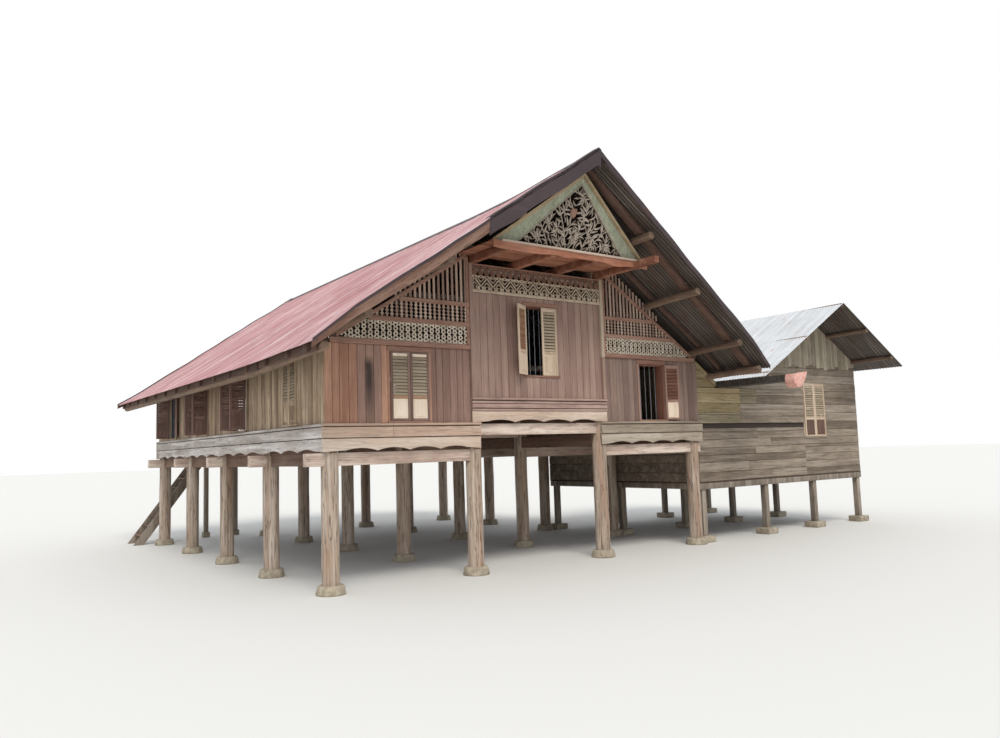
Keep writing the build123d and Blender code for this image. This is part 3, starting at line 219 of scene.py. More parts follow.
# Each row: name, grain axis, grainMm, contrast, stained, bleached, cracks, then bleach, stain and the board
# tones from dark to pale
timberLooks = {
    # Red meranti boards gone pink-brown in the sun, orange where the rain misses them
    "frontBoards": ("weathered_meranti_boards", "z", 9, 0.7, 0.3, 0.35, 0,
        "#e0b593 #6e5043 #9c6e58 #ac7f68 #bb8f76 #cc997a"),
    # The same boards under the middle roof, greyer, and painted darker as shade
    "rightBoards": ("dull_meranti_boards", "z", 9, 0.68, 0.3, 0.4, 0,
        "#a08a79 #4c3a33 #6c5348 #776056 #836c62 #8e7567"),
    "naveBoards": ("greyed_meranti_boards", "z", 9, 0.72, 0.25, 0.4, 0,
        "#bba08f #634b44 #886c60 #907468 #997d70 #a28778"),
    "duskyBoards": ("purple_brown_boards", "z", 9, 0.7, 0.3, 0.3, 0, "#b09283 #57433c #7d6054 #886a5d #937468"),
    # The boards by the left window, where a leak has soaked a dark streak
    "stainedBoards": ("leak_stained_boards", "z", 9, 0.7, 0.35, 0.3, 0,
        "#b59785 #3a2c22 #917163 #9c7b6c #a88573", {"stainTop": (0.63, 3.65)}),
    # Unpainted side boards bleached grey-tan with dark rain streaks
    "sideBoards": ("bleached_meranti_boards", "z", 9, 0.48, 0.5, 0.62, 0.5,
        "#dccab0 #43342a #735d48 #957b62 #b2987b #c6ad90"),
    # Moulded floor-edge boards along x, bare wood turned tan with orange streaks
    "skirtFront": ("sun_bleached_skirt_boards", "x", 9, 0.7, 0.35, 0.5, 0.4,
        "#d9ccbb #87604a #9d7f6c #b0917d #bd9f8a #c9af9a"),
    "skirtLow": ("pale_scalloped_boards", "x", 9, 0.75, 0.35, 0.55, 0.3,
        "#ddd1c2 #937159 #af9782 #bea691 #cbb39f #d4c0ae"),
    "skirtGrey": ("greyed_skirt_boards", "x", 9, 0.7, 0.35, 0.5, 0.4,
        "#cfc4b5 #6d5a48 #8c7d6c #a0917f #ae9f8e #bbad9d"),
    "skirtNave": ("purple_grey_skirt_boards", "x", 9, 0.65, 0.35, 0.3, 0.4,
        "#cab3a5 #543f38 #765a51 #8e7166 #a4867a #b5998c"),
    # The long side's skirt, whitish grey from rain off the roof
    "skirtSide": ("washed_grey_skirt_boards", "y", 9, 0.65, 0.35, 0.6, 0.5,
        "#fef9f3 #807165 #a79c92 #c0b5ac #d4cac3 #e8dfd8"),
    # Painted shade in the grooves of the mouldings
    "paintedGrooveShade": ("dirt_filled_grooves", "x", 9, 0.55, 0.35, 0.3, 0, "#5d493e #3a2c22 #3b2c25 #4a382f"),
    "beamX": ("sawn_tie_beams", "x", 9, 0.65, 0.35, 0.5, 0.5, "#fdf0e0 #745947 #a88f7e #c1a797 #d6c1af #e8d4c4"),
    "beamY": ("sawn_long_beams", "y", 9, 0.55, 0.35, 0.3, 0.4, "#a38e7c #35261d #5c4436 #705444 #836653 #947764"),
    # Round posts with drying cracks, orange where the outer wood has come off
    "posts": ("round_hardwood_posts", "z", 14, 0.46, 0.55, 0.5, 0.8,
        "#f0e4d5 #9e6d50 #98836f #a6917e #b39e8b #bfaa98"),
    "slimPosts": ("grey_square_posts", "z", 10, 0.55, 0.35, 0.5, 0.5, "#bdb2a4 #544435 #766a5c #8d8071 #a19485"),
    "joists": ("dark_floor_timber", "x", 9, 0.55, 0.35, 0.3, 0, "#7b6450 #3a2c22 #4a3628 #5a4332 #6a503c"),
    "floor": ("worn_floor_boards", "y", 9, 0.55, 0.35, 0.3, 0, "#7b6754 #3a2c22 #46352a #564134 #665040"),
    "lattice": ("pale_carved_timber", "z", 7, 0.8, 0.35, 0.3, 0, "#e2d8c8 #7a6450 #a5947f #baa994 #cbbba7 #d8cab7"),
    "latticeBars": ("brown_lattice_bars", "z", 7, 0.72, 0.35, 0.3, 0,
        "#d2beab #60473b #866e61 #a18575 #b79c89 #c7af9c"),
    # The carved band's upper rows, red-brown as painted shade over the pale carving
    "paintedShadeCarving": ("red_brown_carving", "z", 7, 0.75, 0.35, 0.3, 0, "#9a7b69 #3f2a21 #5f4236 #745343 #876553"),
    "tanLouvre": ("orange_brown_louvres", "x", 6, 0.75, 0.35, 0.3, 0, "#b8967a #54382a #7b5840 #946c51 #a78064"),
    # Dark boards that are painted shade: the strip under the annex's proud boards and the backing behind its joints
    "paintedShadeBoards": ("shaded_gap_boards", "x", 12, 0.55, 0.35, 0.15, 0, "#463a31 #3a2c22 #2c231d #392e27"),
    "yellowFade": ("half_yellowed_annex_boards", "x", 12, 0.62, 0.35, 0.4, 0.5,
        "#b5a98f #4d4130 #796c54 #8c7f66 #9c8f77"),
    "latticeRail": ("brown_lattice_rails", "x", 9, 0.65, 0.35, 0.3, 0.3, "#c5a892 #523c2f #805b4b #97705f #ac8772"),
    "footRail": ("pale_gable_foot_rail", "x", 7, 0.75, 0.35, 0.3, 0, "#d3c0ae #7f6353 #a58f80 #b49f8f #c2ae9c"),
    "cream": ("cream_trim_boards", "z", 7, 0.75, 0.35, 0.3, 0, "#d6c9b3 #705c49 #9c8a75 #b3a08a #c4b39b"),
    "soffit": ("orange_brown_soffit_timber", "x", 9, 0.6, 0.35, 0.3, 0.4,
        "#caab91 #492a20 #6e402f #8b5740 #a86d53 #bf8a6f"),
    "rafters": ("dark_rafter_timber", "x", 9, 0.55, 0.35, 0.3, 0, "#82695a #3a2c22 #4b362c #5d453a #715649"),
    "eaveBoard": ("rough_eave_boards", "y", 9, 0.6, 0.35, 0.3, 0.5, "#846b59 #2e221b #503a30 #62493c #725749"),
    "logs": ("peeled_roof_logs", "y", 9, 0.55, 0.35, 0.3, 0.5, "#a18b77 #3a2c22 #5f4a3d #77604f #8e7460"),
    # The grain follows the slope, up to the ridge from the left and from the right.
    "verge": ("brown_verge_boards", "x", 14, 0.6, 0.35, 0.4, 0.5,
        "#a98f7c #422d27 #68493c #775647 #856453 #917160", {"sloped": 0.597}),
    "vergeRight": ("brown_right_verge_boards", "x", 14, 0.6, 0.35, 0.4, 0.5,
        "#b29a87 #45302a #6d4f41 #7d5d4d #8c6c5a #997a68", {"sloped": -0.597}),
    # Green oil paint chalked by the sun, with grey wood showing through
    "green": ("chalked_green_paint", "z", 16, 0.72, 0.55, 0.5, 0.35, "#c3c0ad #877d63 #93977f #a5a990 #b5b69f"),
    "tracery": ("bare_fretwork", "z", 8, 0.78, 0.35, 0.3, 0, "#c9bdad #7a5a47 #8c7e70 #a49687 #b8aa9a"),
    "heart": ("bare_brown_fretwork", "z", 8, 0.75, 0.35, 0.3, 0, "#a88874 #3a2c22 #866452 #997562"),
    "yellowTrim": ("yellow_tan_trim", "x", 9, 0.7, 0.35, 0.3, 0, "#c2b294 #6a543c #8d7a5c #a18c6c #b19d7e"),
    "leafFrame": ("shutter_frames", "z", 7, 0.7, 0.35, 0.3, 0, "#a68f7f #4a352d #6b5248 #7f6459 #92776a"),
    "louvre": ("shutter_louvres", "x", 6, 0.75, 0.35, 0.3, 0, "#cdbfa8 #755c47 #93836c #a8967e #b9a891"),
    "leafRail": ("orange_tan_rails", "x", 6, 0.72, 0.35, 0.3, 0, "#c8b095 #77543b #9b775b #ad8a6c #bc9b7e"),
    "leafPanel": ("shutter_panels", "z", 7, 0.85, 0.35, 0.3, 0, "#fff4e2 #b69372 #dac4ad #ebd7c1 #f7e6d1"),
    "naveLeaf": ("tan_shutter_frames", "z", 7, 0.75, 0.35, 0.3, 0, "#e5d4be #866b52 #ad967f #c3ac93 #d4bea6"),
    "redTrim": ("worn_red_brown_frames", "z", 7, 0.72, 0.35, 0.3, 0, "#b79b8b #5d4238 #856658 #977668 #a88878"),
    "redLouvre": ("varnished_red_louvres", "x", 6, 0.75, 0.35, 0.3, 0, "#a98470 #3d261e #6d4435 #825443 #976853"),
    "redFrame": ("varnished_red_frames", "z", 7, 0.75, 0.35, 0.3, 0, "#af8c78 #43291f #704536 #885846 #9b6d59"),
    "darkPanel": ("dark_brown_panels", "z", 7, 0.7, 0.35, 0.3, 0, "#846a5b #33251e #4f3a30 #61483d #72574a"),
    # Leaves on the long side, dull and dark under the eave
    "dullFrame": ("dull_shutter_frames", "z", 7, 0.7, 0.35, 0.3, 0, "#ba9a8b #46352d #694f45 #7f6258 #97786e"),
    "annexBoards": ("grey_brown_annex_boards", "x", 12, 0.6, 0.55, 0.4, 0.5,
        "#bbae9f #403428 #65594b #7d6e5e #928473 #a49686"),
    "annexYellow": ("yellowed_annex_boards", "x", 12, 0.6, 0.35, 0.3, 0.5, "#cab99b #635036 #8a7857 #a18e68 #b4a179"),
    "annexGable": ("grey_annex_gable_boards", "z", 12, 0.6, 0.35, 0.3, 0.5, "#d2c6b3 #514538 #827665 #9c8f7b #b4ab93"),
    # The sheets' underside, galvanised and drawn dark grey
}
looks = {}
for key, row in timberLooks.items():
    extra = row[-1] if isinstance(row[-1], dict) else {}
    looks[key] = weatheredTimber(*row[:8], **extra)

# Pale line (streaks and painted highlights), dark line and rust, then the tones; rust level, metal, roughness,
# strength of lines and ribs
looks["redSteel"] = roofSteel("faded_red_roof_steel", "#e7d7d3 #844143 #9d4e3a #955b5d #a96d6f #b78184 #c29093",
                              0.6, 0.0, 0.55, 0.85, 0.4)
# The sheets' underside, galvanised and drawn dark grey
looks["underSteel"] = roofSteel("dull_sheet_underside", "#a39c95 #3a2c24 #6b4532 #4c423b #5d534b #6f665e",
                                0.56, 0.15, 0.6, 0.45, 0.62)
# Maroon steel for the flashing and the ridge cap; on the strip along the left verge's edge it is also painted shadow
looks["maroonSteel"] = roofSteel("maroon_steel_and_painted_edge_shadow", "#544143 #23181c #432a23 #2b1f22 #34262a #3e3032",
                                 0.6, 0.0, 0.6, 0.3, 0.0)
looks["zinc"] = roofSteel("galvanised_roof_steel", "#f4f6f7 #b3aca5 #b0703f #bec2c4 #d0d4d6 #dfe3e5",
                          0.59, 0.2, 0.45, 0.5, 0.16)
looks["iron"] = speckled("grey_painted_iron_bars", 14.0, 6.0, 0.5, ("#6a6c70", "#8f9296"))
looks["gutter"] = speckled("dark_gutter_sheet", 14.0, 6.0, 0.6, ("#2f2b29", "#544d47"))
looks["salmon"] = speckled("salmon_painted_spout", 14.0, 6.0, 0.55, ("#cb8b7a", "#deb4a6"))
looks["stone"] = speckled("rough_cast_pad_stone", 9.0, 8.0, 0.9, ("#7b7060", "#a09480", "#b9ad98"), 0.3, 0.7, 0.6)
print("materials made")


# Small tools
def chosen(*pieces):
    bpy.ops.object.select_all(action="DESELECT")
    for piece in pieces:
        piece.select_set(True)
    bpy.context.view_layer.objects.active = pieces[0]


# Runs mesh operators on a piece in edit mode, each on the whole of it.
def edited(piece, *moves):
    chosen(piece)
    bpy.ops.object.mode_set(mode="EDIT")
    for operator, settings in moves:
        bpy.ops.mesh.select_all(action="SELECT")
        operator(**settings)
    bpy.ops.object.mode_set(mode="OBJECT")
    return piece


outward = (bpy.ops.mesh.normals_make_consistent, {"inside": False})


def thickened(piece, step):
    return edited(piece, (bpy.ops.mesh.extrude_region_move, {"TRANSFORM_OT_translate": {"value": step}}), outward)


def cutOff(piece, point, normal, fill=True):
    return edited(piece, (bpy.ops.mesh.bisect, {"plane_co": point, "plane_no": normal, "clear_outer": True,
                                                "use_fill": fill}))


def slicedAt(piece, axis, places):
    way = Vector([float(axis == a) for a in "xyz"])
    return edited(piece, *[(bpy.ops.mesh.bisect, {"plane_co": way * at, "plane_no": way}) for at in places])


def modified(piece, kind, **settings):
    chosen(piece)
    modifier = piece.modifiers.new("step", kind)
    for key, value in settings.items():
        setattr(modifier, key, value)
    bpy.ops.object.modifier_apply(modifier="step")
    return piece


def rounded(piece, edge, angle=0.6):
    if edge:
        modified(piece, "BEVEL", width=edge, segments=2, limit_method="ANGLE", angle_limit=angle)
    return piece


def linked(mesh):
    piece = bpy.data.objects.new("piece", mesh)
    bpy.context.scene.collection.objects.link(piece)
    return piece


def drawn(points, polygons):
    mesh = bpy.data.meshes.new("piece")
    mesh.from_pydata(points, [], polygons)
    return linked(mesh)


def dropped(piece):
    mesh = piece.data
    bpy.data.objects.remove(piece)
    bpy.data.meshes.remove(mesh)


def wear(piece, look):
    piece.data.materials.clear()
    piece.data.materials.append(looks[look])
    return piece


def moved(x, y, z):
    return Matrix.Translation((x, y, z))


def turned(angle, axis="Z", size=4):
    return Matrix.Rotation(math.radians(angle), size, axis)


def mirrored(axis, at=0.0):
    way = Vector([float(axis == a) for a in "xyz"])
    return Matrix.Translation(way * at) @ Matrix.Scale(-1, 4, way) @ Matrix.Translation(way * -at)


def flipped(piece, mirror):
    piece.data.transform(mirror)
    piece.data.flip_normals()
    return piece


same, mirrorBack, mirrorRight = Matrix.Identity(4), mirrored("y", depth / 2), mirrored("x", ridgeX)


# A flat outline of pairs in the plane square to the axis, drawn out from start to end along it.
def prism(look, outline, axis, start, end, edge=0.0):
    at = "xyz".index(axis)
    piece = drawn([(*pair[:at], start, *pair[at:]) for pair in outline], [list(range(len(outline)))])
    rounded(thickened(piece, [end - start if i == at else 0.0 for i in range(3)]), edge)
    return wear(piece, look)


def blankBoard(edge):
    bpy.ops.mesh.primitive_cube_add(size=1)
    return edited(bpy.context.object, (bpy.ops.mesh.bevel, {"offset": edge, "segments": 1, "affect": "EDGES"}))


blanks = {"sharp": blankBoard(0.002), "worn": blankBoard(0.005)}


# Boards and bars are copies of a bevelled blank, sized by moving its corners so the bevel keeps its width.
# A lay is two opposite corners, and a turn about the middle if there is one.
def laid(look, lays, kind="worn"):
    source = blanks[kind].data
    points, polygons = [], []
    for low, high, *turn in lays:
        low, high, first = Vector(low), Vector(high), len(points)
        middle, half = (low + high) / 2, (high - low) / 2
        for vertex in source.vertices:
            corner = Vector([math.copysign(1, c) * (h - (0.5 - abs(c))) for c, h in zip(vertex.co, half)])
            points.append((turn[0] @ corner if turn else corner) + middle)
        polygons += [[first + i for i in face.vertices] for face in source.polygons]
    return wear(drawn(points, polygons), look)


def copied(source, places, keep=False):
    gathered = bmesh.new()
    for place in places:
        mesh = source.data.copy()
        mesh.transform(place)
        if place.determinant() < 0:
            mesh.flip_normals()
        gathered.from_mesh(mesh)
        bpy.data.meshes.remove(mesh)
    mesh = bpy.data.meshes.new("piece")
    gathered.to_mesh(mesh)
    gathered.free()
    for look in source.data.materials:
        mesh.materials.append(look)
    if not keep:
        dropped(source)
    return linked(mesh)


def joined(pieces):
    chosen(*pieces)
    if len(pieces) > 1:
        bpy.ops.object.join()
    return pieces[0]


# Each separate board of a piece gets one tone, which its timber reads.
def setTones(mesh):
    owner = list(range(len(mesh.vertices)))

    def root(i):
        while owner[i] != i:
            owner[i] = owner[owner[i]]
            i = owner[i]
        return i
    for edge in mesh.edges:
        a, b = root(edge.vertices[0]), root(edge.vertices[1])
        if a != b:
            owner[b] = a
    tones = {}
    for i in range(len(owner)):
        if root(i) not in tones:
            tones[root(i)] = random.random()
    values = [tones[root(i)] for i in range(len(owner))]
    mesh.attributes.new("tone", "FLOAT", "POINT").data.foreach_set("value", values)


def settle(piece, name, node=None, smooth=30):
    piece.name = piece.data.name = name
    piece.data.transform(Matrix.Translation(cornerPost) @ piece.matrix_world)
    piece.matrix_world = same
    setTones(piece.data)
    if smooth:
        chosen(piece)
        bpy.ops.object.shade_smooth_by_angle(angle=math.radians(smooth))
    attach(piece, "root")
    if node:
        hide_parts(node)


def settlePair(piece, name, node=None, smooth=30, mirror=mirrorBack):
    settle(copied(piece, (same, mirror)), name, node, smooth)


# A worn copy of a packed timber node: merged, its flats dissolved, its arrises rounded.
def wornCopy(node, look, edge=0.0):
    piece = linked(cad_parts[node].data.copy())
    piece.data.transform(Matrix.Translation(-cornerPost))
    edited(piece, (bpy.ops.mesh.remove_doubles, {"threshold": 0.0002}),
           (bpy.ops.mesh.dissolve_limited, {"angle_limit": math.radians(1.5)}), outward)
    return wear(rounded(piece, edge, 0.7), look)


# Walls face -y in their own plane; these set them on a side of the house.
faces = {"front": moved(0, -wallOut, 0), "back": moved(0, depth + wallOut, 0) @ turned(180),
         "left": moved(-wallOut, 0, 0) @ turned(-90), "right": moved(width + wallOut, 0, 0) @ turned(90)}

boardWall = {"pitch": (0.14, 0.16), "share": (0.13, 0.18), "gap": 0.005, "proud": 0.004, "thick": 0.024}


# Upright boards from u0 to u1 between z0 and z1, in the wall's own plane, round (u, width, low, high) holes
def uprightBoards(u0, u1, z0, z1, holes):
    edges, lays = [u0], []
    for stop in sorted([u + side * wide / 2 for u, wide, _, _ in holes for side in (-1, 1)] + [u1]):
        start = edges[-1]
        count = max(1, round((stop - start) / random.uniform(*boardWall["pitch"])))
        shares = [random.uniform(*boardWall["share"]) for _ in range(count)]
        for share in shares:
            edges.append(edges[-1] + share * (stop - start) / sum(shares))
        edges[-1] = stop
    for a, b in zip(edges, edges[1:]):
        spans = [(z0, z1)]
        for u, wide, low, high in holes:
            if abs((a + b) / 2 - u) < wide / 2:
                spans = [(z0, low), (high, z1)]
        for low, high in spans:
            if high - low >= 0.01:
                out, half = random.uniform(0, boardWall["proud"]), boardWall["gap"] / 2
                lays.append(((a + half, out, low), (b - half, out + boardWall["thick"], high)))
    return lays


# Width, sill and head of each kind of window, and where they stand along their walls
windows = {"front": (0.72, 2.597, 3.718), "nave": (0.72, 3.41, 4.67), "side": (0.60, 2.61, 3.65),
           "annex": (0.84, 2.18, 3.47)}
leftX, naveX, rightX, annexX = 1.35, 4.125, 6.97, 12.72
sideY = (1.257, 3.771, 6.285, 8.799)


def hole(kind, centre):
    return (centre, *windows[kind])


aisle, nave, sideEdge = (skirtTop, aisleTop), (house["naveBottom"], house["naveBoardTop"]), wallOut - 0.025
for name, side, u0, u1, span, holes, look, node in (
        ("front_left", "front", -wallOut, naveLeft, aisle, [hole("front", leftX)], "frontBoards", "front_left_wall"),
        ("front_right", "front", naveRight, width + wallOut, aisle, [hole("front", rightX)], "rightBoards",
         "front_right_wall"),
        ("front_nave", "front", naveLeft + 0.07, naveRight - 0.07, nave, [hole("nave", naveX)], "naveBoards",
         "front_nave_wall"),
        ("back_left", "back", -naveLeft, wallOut, aisle, [(-1.7, 0.76, 2.56, 3.71)], "frontBoards",
         "back_aisle_walls"),
        ("back_right", "back", -width - wallOut, -naveRight, aisle, [hole("front", leftX - width)], "frontBoards",
         None),
        ("back_nave", "back", 0.07 - naveRight, -naveLeft - 0.07, nave, [hole("nave", -naveX)], "naveBoards",
         "back_nave_wall"),
        ("left_side", "left", -depth - sideEdge, sideEdge, aisle, [hole("side", -y) for y in sideY], "sideBoards",
         "left_side_wall"),
        ("right_side", "right", -sideEdge, depth + sideEdge, aisle, [hole("side", y) for y in sideY[2:]],
         "sideBoards", "right_side_wall")):
    piece = laid(look, uprightBoards(u0, u1, *span, holes))
    if name == "front_left":
        piece.data.materials.append(looks["stainedBoards"])
        piece.data.materials.append(looks["duskyBoards"])
        for face in piece.data.polygons:
            face.material_index = 2 if face.center.x > 1.75 else int(0.42 < face.center.x < 0.84)
    piece.data.transform(faces[side])
    settle(piece, name + "_boards", node, None)
print("board walls made")

# Louvred leaves: a frame, slanted louvres above and a raised panel below. Louvre sets give the louvres' pitch,
# width and slant.
leafShape = {"front": -0.03, "back": -0.002, "stile": 0.045, "top": 0.03, "middle": 0.055, "bottom": 0.038,
             "railBack": 0.002, "panelShare": 0.3, "panel": (0.011, 0.008), "raised": (0.025, 0.03, 0.004),
             "louvreThick": 0.008, "topSlat": 0.045, "slat": (0.006, 0.004), "hinge": 0.016}
louvreSets = {"plain": (0.0525, 0.052, 63), "coarse": (0.067, 0.061, 57), "shut": (0.0525, 0.05, 72)}


# One leaf set on a wall: hand 1 hangs on the left of its opening, -1 on the right. It is made in x from 0 to its
# width, its outer face towards -y. Its looks are those of frame, louvres and panel.
def hungLeaf(side, kind, centre, hand, angle, frameLook="leafFrame", louvreLook="louvre", panelLook="leafPanel",
             louvreSet="plain"):
    wide, sill, head = windows[kind]
    w, h, s = wide / 2 - 0.002, head - sill, leafShape
    front, back, a, b = s["front"], s["back"], s["stile"], w - s["stile"]
    railFront, (panelIn, panelOut), (slatIn, slatOut) = front + s["railBack"], s["panel"], s["slat"]
    besides, above, raised = s["raised"]
    pitch, deep, slant = louvreSets[louvreSet]
    panelTop = s["bottom"] + (h - s["bottom"] - s["top"]) * s["panelShare"]
    low, high = panelTop + s["middle"], h - s["top"] - s["topSlat"]
    count = int((high - low) / pitch)
    middleY, tilt = (front + back) / 2 + 0.001, turned(slant, "X", 3)
    louvres = []
    for i in range(count):
        z = low + (high - low) / count * (i + 0.5)
        louvres.append(((a, middleY - deep / 2, z - s["louvreThick"] / 2),
                        (b, middleY + deep / 2, z + s["louvreThick"] / 2), tilt))
    oneLook = frameLook != "leafFrame"
    made = joined([
        laid(frameLook, [((0.0, front, 0.0), (a, back, h)), ((b, front, 0.0), (w, back, h)),
                         ((a, railFront, 0.0), (b, back, s["bottom"])), ((a, railFront, h - s["top"]), (b, back, h))]),
        laid(louvreLook, louvres, "sharp"),
        laid(frameLook if oneLook else "leafRail", [((a, railFront, panelTop), (b, back, low))]),
        laid(panelLook, [((a, front + panelIn, s["bottom"]), (b, back - panelOut, panelTop)),
                         ((a + besides, front + raised, s["bottom"] + above),
                          (b - besides, back - raised, panelTop - above))], "sharp"),
        laid(frameLook if oneLook else panelLook,
             [((a, front + slatIn, high), (b, back - slatOut, h - s["top"]))], "sharp")])
    if hand < 0:
        flipped(made, mirrored("x"))
    turn = moved(0, -s["hinge"], 0) @ turned(-hand * angle) @ moved(0, s["hinge"], 0)
    made.data.transform(faces[side] @ moved(centre - hand * wide / 2, 0, sill) @ turn)
    return made


def leafPair(side, kind, centre, *leafLooks, turns=(0, 0)):
    return [hungLeaf(side, kind, centre, hand, angle, *leafLooks) for hand, angle in zip((1, -1), turns)]


trimShape = {"past": 0.05, "head": (-0.012, 0.02, 0.085), "sill": (-0.02, 0.03, 0.035), "strip": (-0.008, 0.045),
             "lining": (0.026, 0.016, 0.018), "barRadius": 0.0065}


# Head board, sill and side strips round an opening, red lining boards inside it where it is deep, and iron bars
# up it where it stands open
def windowTrim(side, kind, centre, bars=0, head="latticeRail", strip="frontBoards", sill="latticeRail", deep=0.0):
    wide, low, high = windows[kind]
    a, b = centre - wide / 2, centre + wide / 2
    past, (headFront, headBack, headTall), (sillFront, sillBack, sillTall) = (
        trimShape[key] for key in ("past", "head", "sill"))
    (stripFront, stripWide), (inside, thick, top) = trimShape["strip"], trimShape["lining"]
    parts = [laid(head, [((a - past, headFront, high), (b + past, headBack, high + headTall))]),
             laid(sill, [((a - past, sillFront, low - sillTall), (b + past, sillBack, low))]),
             laid(strip, [((a - stripWide, stripFront, low), (a, stripWide, high)),
                          ((b, stripFront, low), (b + stripWide, stripWide, high))])]
    if deep:
        parts.append(laid("redFrame", [((a, inside, low), (a + thick, deep, high)),
                                       ((b - thick, inside, low), (b, deep, high)),
                                       ((a, inside, high - top), (b, deep, high))]))
    for i in range(bars):
        place = (a + wide * (i + 0.5) / bars, max(0.02, deep - 0.03), (low + high) / 2)
        bpy.ops.mesh.primitive_cylinder_add(vertices=10, radius=trimShape["barRadius"], depth=high - low,
                                            location=place)
        bar = bpy.context.object
        bpy.ops.object.transform_apply()
        parts.append(wear(bar, "iron"))
    made = joined(parts)
    made.data.transform(faces[side])
    return made


tan, red = ("naveLeaf", "louvre", "naveLeaf"), ("redTrim", "redLouvre", "leafPanel", "coarse")
leaves = leafPair("front", "front", leftX)
leaves += [hungLeaf("front", "nave", naveX, 1, 150, "naveLeaf", "tanLouvre", "naveLeaf"),
           hungLeaf("front", "nave", naveX, -1, 0, *tan), hungLeaf("front", "front", rightX, -1, 170, *red)]
settle(joined(leaves), "front_leaves", "front_shutters")

leaves = []
for y, turns in zip(sideY, ((0, 0), (90, 90), (90, 90), (90, 170))):
    sideLooks = ("sideBoards", "louvre", "sideBoards") if y < 3 else ("dullFrame", "dullFrame", "leafFrame", "shut")
    leaves += leafPair("left", "side", -y, *sideLooks, turns=turns)
for y in sideY[2:]:
    leaves += leafPair("right", "side", y)
settle(joined(leaves), "side_leaves", "side_shutters")
leaves = leafPair("back", "front", leftX - width) + leafPair("back", "nave", -naveX)
settle(joined(leaves), "back_leaves", "back_shutters")

bare = ("sideBoards",) * 3
trims = [windowTrim("front", "front", leftX), windowTrim("front", "nave", naveX, 6, strip="naveBoards", deep=0.16),
         windowTrim("front", "front", rightX, 5, strip="redTrim", deep=0.23)]
trims += [windowTrim("left", "side", -y, 0 if y < 3 else 4, *bare) for y in sideY]
trims += [windowTrim("right", "side", y, 0, *bare) for y in sideY[2:]]
trims += [windowTrim("back", "front", leftX - width), windowTrim("back", "nave", -naveX)]
settle(joined(trims), "window_trims")
print("windows made")

# Floor-edge skirts: a cap, a grooved board over it, and a scalloped board below. The profiles are pairs of
# outward offset and height above the skirt's foot.
skirt = {"foot": 2.13, "seam": 0.2, "back": 0.14, "scallopThick": 0.025, "flat": 0.33, "rise": 0.05, "notch": 0.004,
         "grooves": (0.15, 0.162), "outer": 0.18}
capProfile = [(0.157, 0.39), (0.186, 0.392), (0.2, 0.4), (0.2, 0.41), (0.193, 0.414), (0.193, 0.422), (0.188, 0.43),
              (0.1, 0.43), (0.1, 0.39), (0.13, 0.39)]
plainProfile = [(0.13, 0.2), (0.16, 0.2), (0.16, 0.213), (0.184, 0.216), (0.184, 0.227), (0.178, 0.233),
                (0.178, 0.366), (0.172, 0.376), (0.157, 0.377)] + capProfile
upperProfile = [(0.13, 0.2), (0.172, 0.2), (0.184, 0.208), (0.184, 0.232), (0.174, 0.238), (0.16, 0.24),
                (0.16, 0.252), (0.174, 0.254), (0.178, 0.262), (0.178, 0.318), (0.172, 0.324), (0.161, 0.325),
                (0.161, 0.333), (0.172, 0.334), (0.178, 0.34), (0.178, 0.368), (0.174, 0.374),
                (0.157, 0.376)] + capProfile


# A moulding along an axis. Faces at the bottom of its grooves get a dark look, which is painted shade.
def moulding(look, profile, foot, axis, start, end):
    piece = prism(look, [(-out, foot + z) for out, z in profile], axis, start, end)
    piece.data.materials.append(looks["paintedGrooveShade"])
    low, high = skirt["grooves"]
    for face in piece.data.polygons:
        out = -face.center["yx".index(axis)]
        face.material_index = int(low < out < high and abs(face.normal.z) < 0.5)
    return piece


def scalloped(look, axis, start, end, foot, arcs, arcStart, arcEnd):
    seam = foot + skirt["seam"]
    outline = [(start, seam), (start, foot)]
    chord = (arcEnd - arcStart - skirt["flat"]) / arcs
    first = (arcStart + arcEnd) / 2 - chord * arcs / 2
    for i in range(arcs):
        for share in [step / 10 for step in range(1, 10)]:
            rise = skirt["rise"] * (1 - (2 * share - 1) ** 2) ** 0.8
            outline.append((first + chord * (i + share), foot + rise))
        if i < arcs - 1:
            outline.append((first + chord * (i + 1), foot + skirt["notch"]))
    outline += [(end, foot), (end, seam)]
    return prism(look, outline, axis, -skirt["back"] - skirt["scallopThick"], -skirt["back"], 0.004)


def frontSkirt(start, end, foot, arcStart, arcEnd, look, profile, lowLook, joints=()):
    pieces = [scalloped(lowLook, "y", start, end, foot, 4, arcStart, arcEnd)]
    stops = [start, *joints, end]
    for a, b in zip(stops[::2], stops[1::2]):
        pieces.append(moulding(look, profile, foot, "x", a, b))
    return pieces


low, outer = skirt["foot"], skirt["outer"]
aisles = frontSkirt(-outer, inner1 + 0.06, low, left1, inner1, "skirtFront", plainProfile, "skirtLow", (1.013, 1.019))
aisles += frontSkirt(inner2 - 0.06, width + outer, low, inner2, width, "skirtGrey", plainProfile, "skirtGrey")
aisleSkirts = joined(aisles)
naveSkirt = joined(frontSkirt(naveLeft, naveRight, low + 0.43, inner1, inner2, "skirtNave", upperProfile, "skirtLow"))
settlePair(aisleSkirts, "aisle_skirt_boards", "aisle_skirts")
settlePair(naveSkirt, "nave_skirt_boards", "nave_skirts")

pieces = []
for y0, y1 in zip(rows, rows[1:]):
    start, end = (y0 or -skirt["back"]), (y1 if y1 < depth else depth + skirt["back"])
    pieces.append(scalloped("skirtSide", "x", start, end, low, 3, y0, y1))
pieces.append(moulding("skirtSide", plainProfile, low, "y", -skirt["back"], depth + skirt["back"]))
settlePair(joined(pieces), "side_skirt_boards", "side_skirts", mirror=mirrorRight)
print("skirts made")

